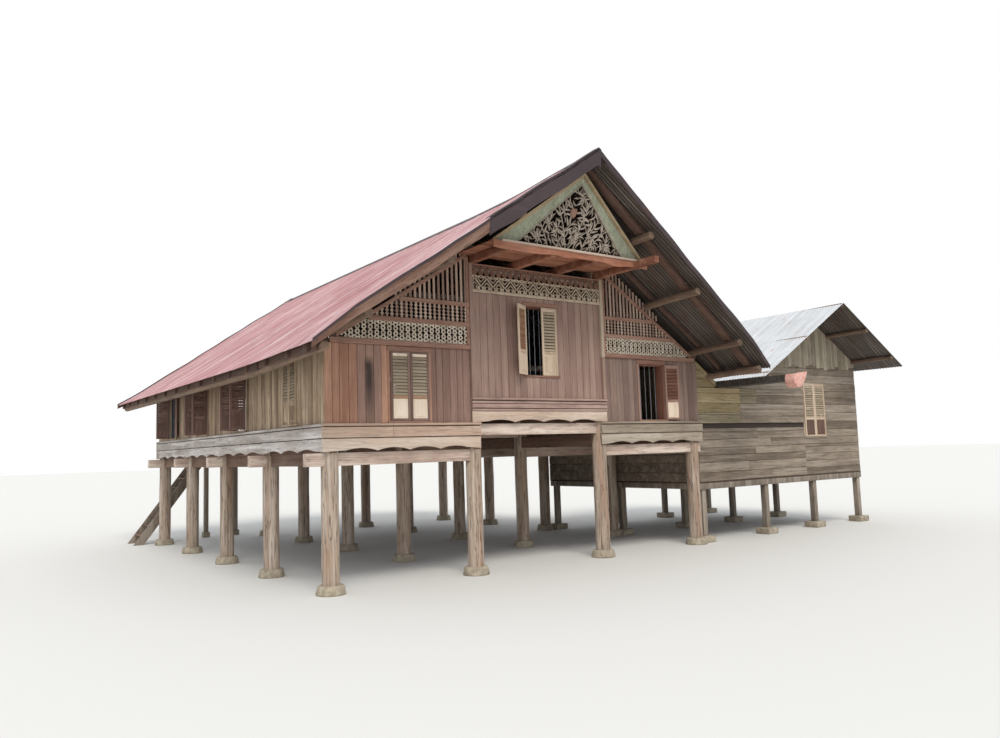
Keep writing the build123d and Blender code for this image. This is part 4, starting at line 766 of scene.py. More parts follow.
# The roof's lines. Its front end climbs a little towards the verge, and the rest has sagged.
eaveX, eaveZ = ridgeX - roofHalf, ridgeZ - roofPitch * roofHalf
vergeRate = house["vergeLean"] / (ridgeZ - eaveZ)
vergeNormal = Vector((0, -1, -vergeRate)).normalized()
climb = {"most": 0.125, "eave": 0.03, "long": 2.6, "ramp": 0.6, "sag": 0.045, "sagFrom": (-0.4, 1.9),
         "cuts": (-1.3, -0.85, -0.4, 0.1, 0.6, 1.2, 1.9)}
posts = {"cuts": (0.5, 0.9, 1.3, 1.7), "from": 0.2, "to": 2.5, "wander": 0.009}


def vergeY(z):
    return -house["vergeLow"] - vergeRate * (z - eaveZ)


def clamped(value):
    return min(1.0, max(0.0, value))


def climbAt(x, y):
    down = abs(x - ridgeX)
    near = clamped(1 - (y - vergeY(ridgeZ - roofPitch * down)) / climb["long"])
    foot = clamped((roofHalf - down) / climb["ramp"])
    start, full = climb["sagFrom"]
    sunk = climb["sag"] * clamped((y - start) / (full - start)) * (0.4 + 0.6 * foot)
    return near * near * (3 - 2 * near) * (climb["eave"] + (climb["most"] - climb["eave"]) * foot) - sunk


# A roof timber is cut across in several places so that it can follow the climb.
def climbed(piece):
    slicedAt(piece, "y", climb["cuts"])
    slicedAt(piece, "x", (eaveX + climb["ramp"], 2 * ridgeX - eaveX - climb["ramp"]))
    for vertex in piece.data.vertices:
        vertex.co.z += climbAt(vertex.co.x, vertex.co.y)
    return piece


# Round posts wander a little from the true cylinder.
for node in ("outer", "inner"):
    piece = slicedAt(wornCopy(node + "_posts", "posts"), "z", posts["cuts"])
    for vertex in piece.data.vertices:
        if posts["from"] < vertex.co.z < posts["to"]:
            vertex.co += noise.noise_vector(vertex.co * 1.7) * posts["wander"]
    settle(piece, node + "_round_posts", node + "_posts", 35)

# Node, new name, look, slot and the rounding of its arrises
for node, name, look, slot, edge in (
        ("tie_beams", "tie_timbers", "beamX", "beams", 0.008),
        ("long_beams", "long_timbers", "beamY", "beams", 0.008),
        ("floor_joists", "joist_timbers", "joists", "beams", 0.004),
        ("gable_bearers", "gable_bearer_timbers", "soffit", "soffit_timber", 0.006),
        ("rafters", "rafter_timbers", "rafters", "rafter_timber", 0.003),
        ("purlins", "purlin_logs", "logs", "rafter_timber", 0),
        ("roof_struts", "roof_strut_timbers", "rafters", "rafter_timber", 0.004),
        ("slim_posts", "slim_square_posts", "slimPosts", "posts", 0.008),
        ("annex_beams", "annex_beam_timbers", "slimPosts", "beams", 0.008),
        ("stair_landing", "landing_deck", "floor", "floor_boards", 0.005),
        ("stair_strings", "stair_string_timbers", "slimPosts", "beams", 0.006),
        ("stair_treads", "stair_tread_timbers", "beamY", "beams", 0.005),
        ("stone_pads", "pad_stones", "stone", "pad_stone", 0.018)):
    piece = wornCopy(node, look, edge)
    if node in ("rafters", "purlins"):
        climbed(piece)
    if node == "gable_bearers":
        # The left one stops behind the fascia and the right one runs on past it.
        for vertex in piece.data.vertices:
            if vertex.co.y < -1.3:
                vertex.co.y += 0.42 if vertex.co.x < ridgeX else -0.14
    settle(piece, name, node, 40)

# Rough boards nailed along the rafter ends, and boards that close the slot over the side walls
eave = {"past": 1.3, "long": (1.6, 2.9), "in": (0.09, 0.12), "foot": (0.075, 0.105), "thick": 0.028, "joint": 0.006,
        "top": 0.03, "tilt": 0.4}
lays, y, end = [], -eave["past"], depth + eave["past"]
while y < end:
    long = min(random.uniform(*eave["long"]), end - y)
    x, drop = eaveX + random.uniform(*eave["in"]), climbAt(eaveX, y + long / 2)
    foot = eaveZ - random.uniform(*eave["foot"]) + drop
    lays.append(((x, y, foot), (x + eave["thick"], y + long - eave["joint"], eaveZ + eave["top"] + drop),
                 turned(random.uniform(-eave["tilt"], eave["tilt"]), "X", 3)))
    y += long
closers = [((-0.12, -0.12, aisleTop), (-0.1, depth + 0.12, aisleTop + 0.13)),
           ((-0.128, -0.15, aisleTop + 0.08), (0.1, -0.128, aisleTop + 0.17))]
settlePair(joined([laid("eaveBoard", lays), laid("eaveBoard", closers)]), "eave_boards",
           mirror=mirrorRight)
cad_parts["floors"].data.materials.clear()
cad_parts["floors"].data.materials.append(looks["floor"])
print("posts and beams made")

# Lattices under the aisle roof: rails between rows of scrolls, balusters and bars, under a sloping rail
lattice = {"front": -0.152, "back": -0.13, "footRail": (3.81, 3.895), "scroll": (3.895, 4.205),
           "midRail": (4.205, 4.28), "balusters": (4.28, 4.556), "upperRail": (4.556, 4.626), "scrollPitch": 0.113,
           "barPitch": 0.09, "barHalf": 0.021, "slopeFoot": (0.12, 3.93), "slopeHead": (2.36, 5.34)}
footX, footZ = lattice["slopeFoot"]
headX, headZ = lattice["slopeHead"]
slopeRate = (headZ - footZ) / (headX - footX)


def slopeX(z):
    return footX + (z - footZ) / slopeRate


# A flat ring in the wall's plane, centred on the origin, drawn out towards +y
def ring(outer, inner, thick, count):
    bpy.ops.mesh.primitive_circle_add(vertices=count, radius=outer, fill_type="NGON", rotation=(math.pi / 2, 0, 0))
    piece = bpy.context.object
    bpy.ops.object.transform_apply()
    bpy.ops.object.mode_set(mode="EDIT")
    bpy.ops.mesh.select_all(action="SELECT")
    bpy.ops.mesh.inset(thickness=outer - inner)
    bpy.ops.mesh.delete(type="FACE")
    bpy.ops.object.mode_set(mode="OBJECT")
    return thickened(piece, (0, thick, 0))


# A tile with a round hole, from which dotted strips are made
def holedTile(wide, high, radius, thick, sides=16):
    outer, inner, quads = [], [], []
    for i in range(sides):
        angle, after = 2 * math.pi * i / sides + math.pi / sides, (i + 1) % sides
        c, s = math.cos(angle), math.sin(angle)
        far = min(wide / 2 / abs(c), high / 2 / abs(s))
        outer.append((c * far, 0, s * far))
        inner.append((c * radius, 0, s * radius))
        quads.append((i, after, sides + after, sides + i))
    return thickened(drawn(outer + inner, quads), (0, thick, 0))


def strip(a, b, half):
    along = (Vector(b) - Vector(a)).normalized()
    side = Vector((-along.y, along.x)) * half
    return [(end[0] + way * side.x, end[1] + way * side.y) for end, way in ((a, 1), (a, -1), (b, -1), (b, 1))]


def evenly(start, end, pitch):
    count = max(1, round((end - start) / pitch))
    return [start + (end - start) * (i + 0.5) / count for i in range(count)]


# What stands above the sloping rail is cut away.
def underSlope(piece, look):
    cutOff(piece, (footX, 0, footZ + 0.02), Vector((-slopeRate, 0, 1)).normalized())
    return wear(piece, look)


# Two rings stand one over the other in each column, with splayed arms to a row of round holes above and below.
scroll = {"rim": 0.042, "ring": 0.043, "hole": 0.0195, "dot": 0.0155, "arm": 0.011, "thick": 0.018}


def scrollBand():
    thick, rim, radius = scroll["thick"], scroll["rim"], scroll["ring"]
    y, (z0, z1) = lattice["front"] + 0.004, lattice["scroll"]
    half = (z1 - z0) / 2 - rim
    centres = evenly(0.14, naveLeft - 0.02, lattice["scrollPitch"])
    pitch = centres[1] - centres[0]
    parts = []
    for up in (-1, 1):
        parts.append(ring(radius, scroll["hole"], thick, 12))
        parts[-1].data.transform(moved(0, 0, up * (radius - 0.002)))
        for side in (-1, 1):
            arm = strip((side * 0.014, up * 1.7 * radius), (side * pitch * 0.42, up * (half + 0.006)), scroll["arm"])
            parts.append(prism("lattice", arm, "y", 0.001, thick - 0.001))
    columns = copied(joined(parts), [moved(x, y, (z0 + z1) / 2) for x in centres if x > slopeX(z0) - 0.12])
    tiles = copied(holedTile(pitch, rim, scroll["dot"], thick),
                   [moved(x + pitch / 2, y, z) for x in centres[:-1] for z in (z0 + rim / 2, z1 - rim / 2)
                    if x > slopeX(z) - 0.15])
    return [underSlope(columns, "lattice"), underSlope(tiles, "lattice")]


baluster = {"end": 0.02, "neck": 0.013, "bump": 0.031, "bumps": 4, "thick": 0.016}


def balusterBand():
    z0, z1 = lattice["balusters"]
    end, neck, bump, high = baluster["end"], baluster["neck"], baluster["bump"], z1 - z0
    right = [(end, 0), (end, end)]
    step = (high - 2 * end) / baluster["bumps"] / 5
    for i in range(baluster["bumps"]):
        right += [(out, end + step * (5 * i + k + 1)) for k, out in enumerate((neck, bump, bump, neck))]
    right += [(end, high - end), (end, high)]
    one = prism("latticeBars", right + [(-x, z) for x, z in reversed(right)], "y", 0, baluster["thick"])
    places = [moved(x, lattice["front"] + 0.006, z0) for x in evenly(0.55, naveLeft - 0.02, lattice["barPitch"])
              if x > slopeX(z0) - 0.05]
    return underSlope(copied(one, places), "latticeBars")


def leftLattice():
    front, back, right = lattice["front"], lattice["back"], naveLeft
    rails = [((start, front - 0.014, lattice[key][0]), (right, back, lattice[key][1]))
             for key, start in (("footRail", -0.05), ("midRail", slopeX(4.24)), ("upperRail", slopeX(4.59)))]
    slope = [(footX - 0.06, footZ - 0.04), (footX - 0.06, footZ + 0.035), (headX + 0.1, headZ + 0.138),
             (headX + 0.1, headZ + 0.063)]
    bars = []
    for x in evenly(0.98, right - 0.01, lattice["barPitch"]):
        top = min(ridgeZ - roofPitch * (ridgeX - x) - 0.13, 5.5)
        bars.append(((x - lattice["barHalf"], front + 0.008, lattice["upperRail"][1]),
                     (x + lattice["barHalf"], back + 0.004, top)))
    jamb = [((right - 0.06, front - 0.008, lattice["footRail"][1]), (right, back, headZ + 0.1))]
    return joined([laid("latticeRail", rails), prism("latticeRail", slope, "y", front - 0.014, back, 0.004),
                   laid("latticeBars", bars, "sharp"), laid("latticeRail", jamb), *scrollBand(), balusterBand()])


one = leftLattice()
frontWork = copied(one, (same, mirrorRight), keep=True)
backWork = copied(one, (mirrorBack, mirrorBack @ mirrorRight))
settle(frontWork, "front_lattice_work", "front_lattices")
settle(backWork, "back_lattice_work", "back_lattices")
print("lattices made")

# The pierced band over the middle wall, and the pale trims up its sides
band = {"left": 2.61, "right": 5.59, "front": -0.15, "thick": 0.018, "pitch": 0.13, "foot": 4.83, "top": 5.34,
        "dotLow": 4.88, "vFoot": 4.944, "vTop": 5.09, "holeTop": 5.136, "leafTop": 5.255, "dotHigh": 5.315,
        "chevron": 0.074, "bold": 0.0125, "fine": 0.008}


def carvedBand():
    y, thick, left, right = band["front"], band["thick"], band["left"], band["right"]
    centres = evenly(left, right, band["pitch"])
    pitch = centres[1] - centres[0]
    foot, top, low, high = band["vFoot"], band["vTop"], band["holeTop"], band["leafTop"]
    pieces = [laid("cream", [((left - 0.01, y - 0.012, band["foot"]), (right + 0.01, y + thick, band["dotLow"]))]),
              laid("latticeRail", [((left, y - 0.004, band["dotHigh"]), (right, y + thick, band["top"]))])]
    # The upper row of dots and the flames are red-brown as painted shade; the lower rows stay cream.
    for z0, z1, radius, look in ((band["dotLow"], foot, 0.0275, "cream"), (top, low, 0.0155, "cream"),
                                 (high, band["dotHigh"], 0.021, "paintedShadeCarving")):
        tile = holedTile(pitch, z1 - z0, radius, thick)
        pieces.append(wear(copied(tile, [moved(x, y, (z0 + z1) / 2) for x in centres]), look))
    # A bold zigzag, two dots long, with a smaller chevron in each of its bays
    bays = []
    small, fine = band["chevron"], band["fine"]
    for x0, z0, x1, z1, half in ((1, foot, 0, top, band["bold"]), (0.52, foot, 0, foot + small, fine),
                                 (1, top - small, 0.48, top, fine)):
        bays += [strip((side * x0 * pitch, z0), (side * x1 * pitch, z1), half) for side in (-1, 1)]
    motif = joined([prism("cream", bay, "y", 0, thick + 0.0006 * i) for i, bay in enumerate(bays)])
    zigzag = copied(motif, [moved(x, y, 0) for x in centres[::2]])
    for edge, side in ((left, -1), (right, 1)):
        cutOff(zigzag, (edge, 0, 0), (side, 0, 0))
    half, tall = pitch / 2, high - low
    rightSide = [(half * 0.3, low), (half * 0.84, low + tall * 0.36), (half * 0.56, low + tall * 0.62),
                 (half * 0.16, high)]
    flame = [(-rightSide[0][0], low)] + rightSide + [(-x, z) for x, z in rightSide[:0:-1]]
    # The flames take the red-brown of the painted shade.
    flames = copied(prism("paintedShadeCarving", flame, "y", 0, thick), [moved(x, y, 0) for x in centres])
    return joined([*pieces, zigzag, flames])


settlePair(carvedBand(), "carved_band_work", "carved_bands")
naveTrim = {"wide": 0.07, "front": -0.178, "back": -0.105}
trims = [laid(look, [((x, naveTrim["front"], z0), (x + naveTrim["wide"], naveTrim["back"], z1))])
         for x, z0, z1, look in ((naveLeft, house["naveBottom"], house["naveTop"], "naveBoards"),
                                 (naveRight - naveTrim["wide"], house["naveBottom"], aisleTop, "naveBoards"),
                                 (naveRight - naveTrim["wide"], aisleTop, house["naveTop"], "cream"))]
settlePair(joined(trims), "nave_trims")
print("carved band made")

# The leaning gable panel, drawn upright about the ridge line and then leaned out by one matrix
gable = {"base": 5.488, "half": 1.758, "high": 1.318, "lean": 0.313, "out": 1.098, "innerHalf": 1.168,
         "innerTop": 1.125, "thick": 0.036, "rail": 0.07, "workThick": 0.02}
gableRate = gable["high"] / gable["half"]
innerRate = (gable["innerTop"] - gable["rail"]) / gable["innerHalf"]
leanOut = Matrix(((1, 0, 0, ridgeX), (0, 1, -gable["lean"], -gable["out"]), (0, 0, 1, gable["base"]), (0, 0, 0, 1)))


def gableFrame():
    half, high, top, rail = gable["half"], gable["high"], gable["innerTop"], gable["rail"]
    drop = math.sqrt(1 + gableRate ** 2)
    boards = [prism("green", [(side * half, 0), (side * top / innerRate, 0), (0, top), (0, high)], "y", 0,
                    gable["thick"], 0.004) for side in (-1, 1)]
    for start, end, proud in ((0.0, 0.041, 0.034), (0.041, 0.064, 0.016)):
        for side in (-1, 1):
            outline = [(side * (half - start * drop / gableRate), 0), (side * (half - end * drop / gableRate), 0),
                       (0, high - end * drop), (0, high - start * drop)]
            boards.append(prism("yellowTrim", outline, "y", -proud, 0.0, 0.003))
    foot = [(-half + 0.2, 0), (half - 0.02, 0), (half - 0.1, rail - 0.02), (-half + 0.24, rail - 0.02)]
    boards.append(prism("cream", foot, "y", -0.03, 0.002, 0.005))
    for side in (-1, 1):
        outline = strip((side * gable["innerHalf"], rail), (0, top), 0.009)
        boards.append(prism("tracery", outline, "y", -0.01, 0.01, 0.002))
    return boards


# The openwork: thin stems that climb from the foot, with long pointed leaves. Cells of a fine grid record what
# is covered, so that the leaves stay apart and dark gaps are left between them.
tracery = {"vine": 0.0085, "cell": 0.0095, "step": 0.045, "wide": 0.026, "fills": 5200, "bows": (-0.13, 0.0, 0.13),
           "flowerAt": (-0.084, 0.655)}
# Each stem's foot, its tilt, its bend and its length
stemRows = ((0.02, 0.12, -0.35, 0.98), (-0.16, -0.25, 0.5, 0.8), (0.2, 0.3, -0.55, 0.72), (-0.36, 0.32, -0.9, 0.62),
            (0.42, -0.3, 0.85, 0.62), (-0.56, -0.5, 0.3, 0.45), (0.62, 0.62, -0.3, 0.5), (-0.78, 0.1, -1.1, 0.42),
            (0.84, -0.35, 1.0, 0.42), (-0.95, -0.5, -0.6, 0.2), (0.3, 0.85, 0.1, 0.85), (1.0, 0.1, -0.9, 0.16),
            (-0.1, 0.7, -0.9, 0.75), (-0.25, -0.75, 0.2, 0.7))
# Sprays of leaves round one point: its place, their number and their length
sprays = ((-0.4, 0.36, 10, 0.16), (0.42, 0.3, 10, 0.16), (0.1, 0.9, 9, 0.13), (-0.78, 0.2, 8, 0.13),
          (0.78, 0.2, 8, 0.13), (-0.06, 0.3, 9, 0.14), (0.16, 0.6, 9, 0.14), (-0.3, 0.66, 8, 0.13),
          (0.62, 0.42, 8, 0.12), (-0.6, 0.42, 8, 0.12), (0.3, 0.12, 7, 0.12), (-0.25, 0.12, 7, 0.12))


def inTriangle(u, w, margin):
    return w > gable["rail"] + margin and w < gable["innerTop"] - abs(u) * innerRate - margin * 1.35


# A stem along a list of points, as one flat ribbon that narrows towards its tip
def ribbon(points):
    sides, count = ([], []), len(points)
    for i, point in enumerate(points):
        ahead, behind = points[min(i + 1, count - 1)], points[max(i - 1, 0)]
        along = Vector((ahead[0] - behind[0], ahead[1] - behind[1])).normalized()
        half = tracery["vine"] * (1 - 0.4 * i / (count - 1))
        for side, way in zip(sides, (1, -1)):
            side.append((point[0] - way * along.y * half, 0, point[1] + way * along.x * half))
    quads = [(i, i + 1, count + i + 1, count + i) for i in range(count - 1)]
    return thickened(drawn(sides[0] + sides[1], quads), (0, gable["workThick"], 0))


# A pointed leaf of length 1 growing along +x from the origin, bowed to one side
def leafBlank(wide, bow):
    top, bottom = [], []
    for t in [i / 7 for i in range(8)]:
        middle, half = bow * 4 * t * (1 - t), wide / 2 * math.sin(math.pi * t ** 0.75)
        top.append((t, middle + half))
        bottom.append((t, middle - half))
    return prism("tracery", top + bottom[-2:0:-1], "y", 0, gable["workThick"])


def leafPath(start, angle, long, bow):
    points = []
    for t in [i / 12 for i in range(1, 13)]:
        a, b = t * long, bow * long * 4 * t * (1 - t)
        points.append((start[0] + a * math.cos(angle) - b * math.sin(angle),
                       start[1] + a * math.sin(angle) + b * math.cos(angle)))
    return points


def traceryPieces():
    rng, bows, step = random.Random(12), tracery["bows"], tracery["step"]
    covered, leafPlaces = set(), {bow: [] for bow in bows}

    def cells(point, around):
        u, w = int(point[0] // tracery["cell"]), int(point[1] // tracery["cell"])
        return [(u + i, w + j) for i in range(-around, around + 1) for j in range(-around, around + 1)]

    def taken(point, around):
        return any(c in covered for c in cells(point, around))

    def cover(points):
        for point in points:
            covered.update(cells(point, 1))

    def tryLeaf(start, angle, long, bow, most):
        while long > 0.05:
            path = leafPath(start, angle, long, bow)
            if all(inTriangle(u, w, 0.004) for u, w in path[:-1]):
                break
            long *= 0.85
        else:
            return
        if sum(taken(point, 1) for point in path[3:]) <= most * len(path):
            cover(path[2:-1])
            leafPlaces[bow].append((start, angle, long))

    stems = []
    for u, tilt, bend, long in stemRows:
        w, angle = gable["rail"] - 0.01, math.pi / 2 - tilt
        points = [(u, w)]
        while len(points) * step < long:
            angle += bend * step + rng.uniform(-0.05, 0.05)
            u, w = u + math.cos(angle) * step, w + math.sin(angle) * step
            if not inTriangle(u, w, -0.01):
                break
            points.append((u, w))
        if len(points) > 2:
            stems.append(points)
            cover(points)
    for points in stems:
        for before, point in zip(points, points[1:]):
            along = math.atan2(point[1] - before[1], point[0] - before[0])
            for side in (-1, 1):
                if rng.random() < 0.55:
                    tryLeaf(point, along + side * rng.uniform(0.35, 1.0), rng.uniform(0.1, 0.19),
                            bows[1 + side * rng.choice((-1, 0, 1))], 0.35)
    for u, w, count, long in sprays:
        for i in range(count):
            tryLeaf((u, w), 2 * math.pi * i / count + rng.uniform(-0.2, 0.5), long * rng.uniform(0.8, 1.15),
                    rng.choice(bows), 0.6)
    for _ in range(tracery["fills"]):
        u, w = rng.uniform(-1.15, 1.15), rng.uniform(0.07, 1.12)
        if inTriangle(u, w, -0.006) and (taken((u, w), 0) or not inTriangle(u, w, 0.012)):
            tryLeaf((u, w), rng.uniform(-math.pi, math.pi), rng.uniform(0.09, 0.19), rng.choice(bows), 0.2)
    pieces = []
    for bow, lays in leafPlaces.items():
        places = []
        for (u, w), angle, long in lays:
            # A bowed leaf is scaled alike both ways so that its curve keeps its shape.
            size = Matrix.Diagonal((long, 1, long if bow else tracery["wide"] * (0.85 + long * 2), 1))
            places.append(moved(u, rng.uniform(-0.004, 0.004), w) @ Matrix.Rotation(-angle, 4, "Y") @ size)
        pieces.append(copied(leafBlank(tracery["wide"] / 0.15 if bow else 1.0, bow), places))
    right = [(0, -0.1), (0.045, -0.05), (0.07, 0.01), (0.06, 0.06), (0.025, 0.075), (0, 0.05)]
    u, w = tracery["flowerAt"]
    heart = [(u + a, w + b) for a, b in right + [(-a, b) for a, b in right[-2:0:-1]]]
    work = wear(joined(pieces + [ribbon(points) for points in stems]), "tracery")
    return [work, prism("heart", heart, "y", -0.006, gable["workThick"] + 0.002, 0.004)]


one = joined(gableFrame() + traceryPieces())
one.data.transform(leanOut)
settlePair(one, "gable_panel_work", "gable_panels")

soffit = {"back": -0.105, "front": -1.18, "under": 5.47, "top": 5.49, "plank": 0.18, "gap": 0.002, "edge": 5.488,
          "foot": 5.354, "wavy": 0.035, "fascia": 0.03, "steps": 26}


def soffitPieces():
    left, right, lays, y = ridgeX - gable["half"], ridgeX + gable["half"], [], soffit["front"]
    while y < soffit["back"] - 0.025:
        deep = min(soffit["plank"], soffit["back"] - y)
        lays.append(((left, y + soffit["gap"], soffit["under"]), (right, y + deep - soffit["gap"], soffit["top"])))
        y += deep
    low = []
    for i in range(soffit["steps"] + 1):
        x = left + 2 * gable["half"] * i / soffit["steps"]
        low.append((x, soffit["foot"] + soffit["wavy"] * noise.noise(Vector((x * 3.1, 0.4, 0)))))
    outline = [(left, soffit["edge"])] + low + [(right, soffit["edge"])]
    # The pale foot rail of the panel lies over the fascia's top edge.
    rail = [((left + 0.16, -1.236, 5.468), (right + 0.01, -1.205, 5.508))]
    boards = laid("soffit", lays, "sharp")
    fascia = prism("soffit", outline, "y", soffit["front"] - soffit["fascia"], soffit["front"], 0.003)
    return [boards, fascia, laid("footRail", rail)]


settlePair(joined(soffitPieces()), "soffit_work", "gable_soffits")
print("gables made")

# Corrugated roofs. A sheet course is a grid in plan, its rows lifted into waves, set on the slope and trimmed
# to the leaning verge.
sheets = {"lap": 0.16, "thick": 0.0012, "wide": 0.76, "proud": 0.003, "wavy": 0.03}


# One slope from its ridge down to its eave; half is level, measured from the ridge line.
def slopeSheets(half, pitch, topZ, y0, waves, courses, segments, sag, seed):
    stretch, rowCount, pieces = math.sqrt(1 + pitch * pitch), waves * 4, []
    step = half * stretch / courses
    for i in range(courses):
        start = 0 if i == 0 else step * i - sheets["lap"]
        bpy.ops.mesh.primitive_grid_add(x_subdivisions=segments, y_subdivisions=rowCount, size=1)
        piece = bpy.context.object
        for vertex in piece.data.vertices:
            row = round((vertex.co.y + 0.5) * rowCount)
            along, y = start + (vertex.co.x + 0.5) * (step * (i + 1) - start), y0 + row * wave["long"] / 4
            lift = (0.0, 0.5, 0.0, -0.5)[row % 4] * wave["deep"] + sheets["proud"] * (courses - i)
            wobble = noise.noise(Vector((along * 0.9, y * 0.6, seed + i * 3))) * sag
            high, out = lift - wave["deep"] / 2 - 0.004 + wobble * 0.5, along / stretch
            vertex.co = Vector((-out + high * pitch / stretch, y, topZ - pitch * out + high / stretch))
        piece.data.flip_normals()
        pieces.append(piece)
    return pieces


def roofPiece(name, node, courses, top):
    piece = joined(courses)
    piece.data.materials.append(looks[top])
    piece.data.materials.append(looks["underSteel"])
    modified(piece, "SOLIDIFY", thickness=sheets["thick"], offset=-1, material_offset=1, use_rim=True)
    settle(piece, name, node, 50)
    # Each width of sheet gets its own tone.
    rng, tones = random.Random(len(name)), {}
    values = [tones.setdefault(math.floor(vertex.co.y / sheets["wide"]), rng.random())
              for vertex in piece.data.vertices]
    piece.data.attributes["tone"].data.foreach_set("value", values)


def mainSlope(side):
    pieces = slopeSheets(roofHalf, roofPitch, ridgeZ, wave["start"], 182, 3, 6, 0.006, 2.0 + side)
    for piece in pieces:
        piece.data.transform(moved(ridgeX, 0, 0))
        cutOff(piece, (0, vergeY(eaveZ), eaveZ), vergeNormal, False)
        cutOff(piece, (0, depth - vergeY(eaveZ), eaveZ), (0, -vergeNormal.y, vergeNormal.z), False)
        if side > 0:
            flipped(piece, mirrorRight)
        for vertex in piece.data.vertices:
            inward = min(vertex.co.y, depth - vertex.co.y) - vergeY(vertex.co.z)
            rough = max(0, 1 - inward / 0.5) * sheets["wavy"] * noise.noise(Vector((vertex.co.x * 1.6, 3.0, 0)))
            vertex.co.z += climbAt(vertex.co.x, vertex.co.y) + rough
    return pieces


roofPiece("left_roof_sheets", "left_roof", mainSlope(-1), "redSteel")
roofPiece("right_roof_sheets", "right_roof", mainSlope(1), "redSteel")
settle(climbed(wornCopy("ridge_cap", "maroonSteel")), "ridge_capping", "ridge_cap")
print("main roof made")

# Verge boards. They lean with the verge, follow its climb and thin out towards the eave; the steel flashing
# covers the upper part of the front left one and wraps over the ridge.
verge = {"flashFrom": 1.93, "flashTo": 4.16, "steps": 48, "thin": 0.5, "thinLong": 1.1}


def vergeStrip(look, x0, x1, above, below, front, back, wavy, seed, far=False):
    top, bottom = [], []
    for i in range(verge["steps"] + 1):
        x = x0 + (x1 - x0) * i / verge["steps"]
        z = ridgeZ - roofPitch * abs(ridgeX - x)
        z += climbAt(x, depth - vergeY(z) if far else vergeY(z))
        z += sheets["wavy"] * noise.noise(Vector((x * 1.6, 3.0, 0)))
        near = min(1.0, (roofHalf - abs(ridgeX - x)) / verge["thinLong"])
        bend = wavy * noise.noise(Vector((x * 2.3, seed, 0)))
        top.append((x, z + above + bend * 0.3))
        bottom.append((x, z - below * (verge["thin"] + (1 - verge["thin"]) * near) + bend))
    piece = prism(look, bottom + top[::-1], "y", front, back)
    for vertex in piece.data.vertices:
        vertex.co.y += vergeY(vertex.co.z)
    return flipped(piece, mirrorBack) if far else piece


eaveRight, flashFrom = 2 * ridgeX - eaveX, verge["flashFrom"]
plank = ("verge", eaveX, ridgeX, -0.012, 0.19, -0.026, 0.0, 0.014, 1.0)
# The thin dark strip along the roof's edge stands for the sheets' edge and the shadow under it: partly painted shadow.
cover = ("maroonSteel", eaveX, ridgeX, 0.03, 0.02, -0.034, -0.026, 0.01, 2.0)
for name, node, strips in (
        ("left_verge_boards", "left_bargeboards",
         (plank, cover, ("maroonSteel", flashFrom, verge["flashTo"], 0.05, 0.255, -0.034, -0.0275, 0.03, 3.0),
          ("maroonSteel", flashFrom, ridgeX, 0.05, -0.044, -0.034, 0.12, 0.0, 4.0), (*plank, True), (*cover, True))),
        ("right_verge_boards", "right_bargeboards",
         (("maroonSteel", eaveRight, ridgeX, 0.035, 0.075, -0.03, -0.02, 0.04, 5.0),
          ("vergeRight", eaveRight, ridgeX, 0.0, 0.19, -0.026, 0.0, 0.012, 7.0, True)))):
    settle(joined([vergeStrip(*row) for row in strips]), name, node)
print("verges made")

# Kitchen annex
annex = {"left": 8.42, "upperLeft": 8.345, "right": 14.6, "depth": 5.05, "floor": 1.27, "gutterZ": 3.29,
         "mainEdge": 9.075, "gutterRight": 9.42, "ridgeX": 12.4988, "ridgeZ": 5.2837, "pitch": 0.576, "gableZ": 3.88,
         "thick": 0.02, "board": (0.155, 0.215), "yellowX": 9.86, "fadeWide": 0.6, "yellowZ": 2.95, "stepZ": 2.515,
         "rightStepZ": 2.0, "slot": 0.105, "proud": 0.034}
gutterZ, peakX, annexDepth = annex["gutterZ"], annex["ridgeX"], annex["depth"]


# Lying boards between x0 and x1 and z0 and z1, round a (x, width, low, high) hole; long ones are jointed.
def levelBoards(x0, x1, z0, z1, proud=0.0, gap=None, joints=False):
    lays, z, thick = [], z0, annex["thick"]
    while z < z1 - 0.03:
        high = min(z + random.uniform(*annex["board"]), z1)
        spans = [(x0, x1)]
        if gap and z < gap[3] and high > gap[2]:
            a, b = gap[0] - gap[1] / 2, gap[0] + gap[1] / 2
            spans = [(x0, a), (b, x1)]
            for foot, top in ((z, gap[2]), (gap[3], high)):
                if top - foot > 0.01:
                    lays.append(((a, -proud, foot + 0.003), (b, thick - proud, top)))
        cut = []
        for a, b in spans:
            if b - a > 3.2 and joints:
                joint = random.uniform(a + 1.2, b - 1.2)
                cut += [(a, joint), (joint, b)]
            else:
                cut.append((a, b))
        for a, b in cut:
            out = random.uniform(-0.004, 0.004) - proud
            lays.append(((a + 0.001, out, z + 0.003), (b - 0.001, out + thick, high - 0.002),
                         turned(random.uniform(-0.12, 0.12), "Y", 3)))
        z = high
    return lays


def underRoof(piece):
    for side in (-1, 1):
        cutOff(piece, (peakX, 0, annex["ridgeZ"] - 0.04), Vector((side * annex["pitch"], 0, 1)).normalized())
    return piece


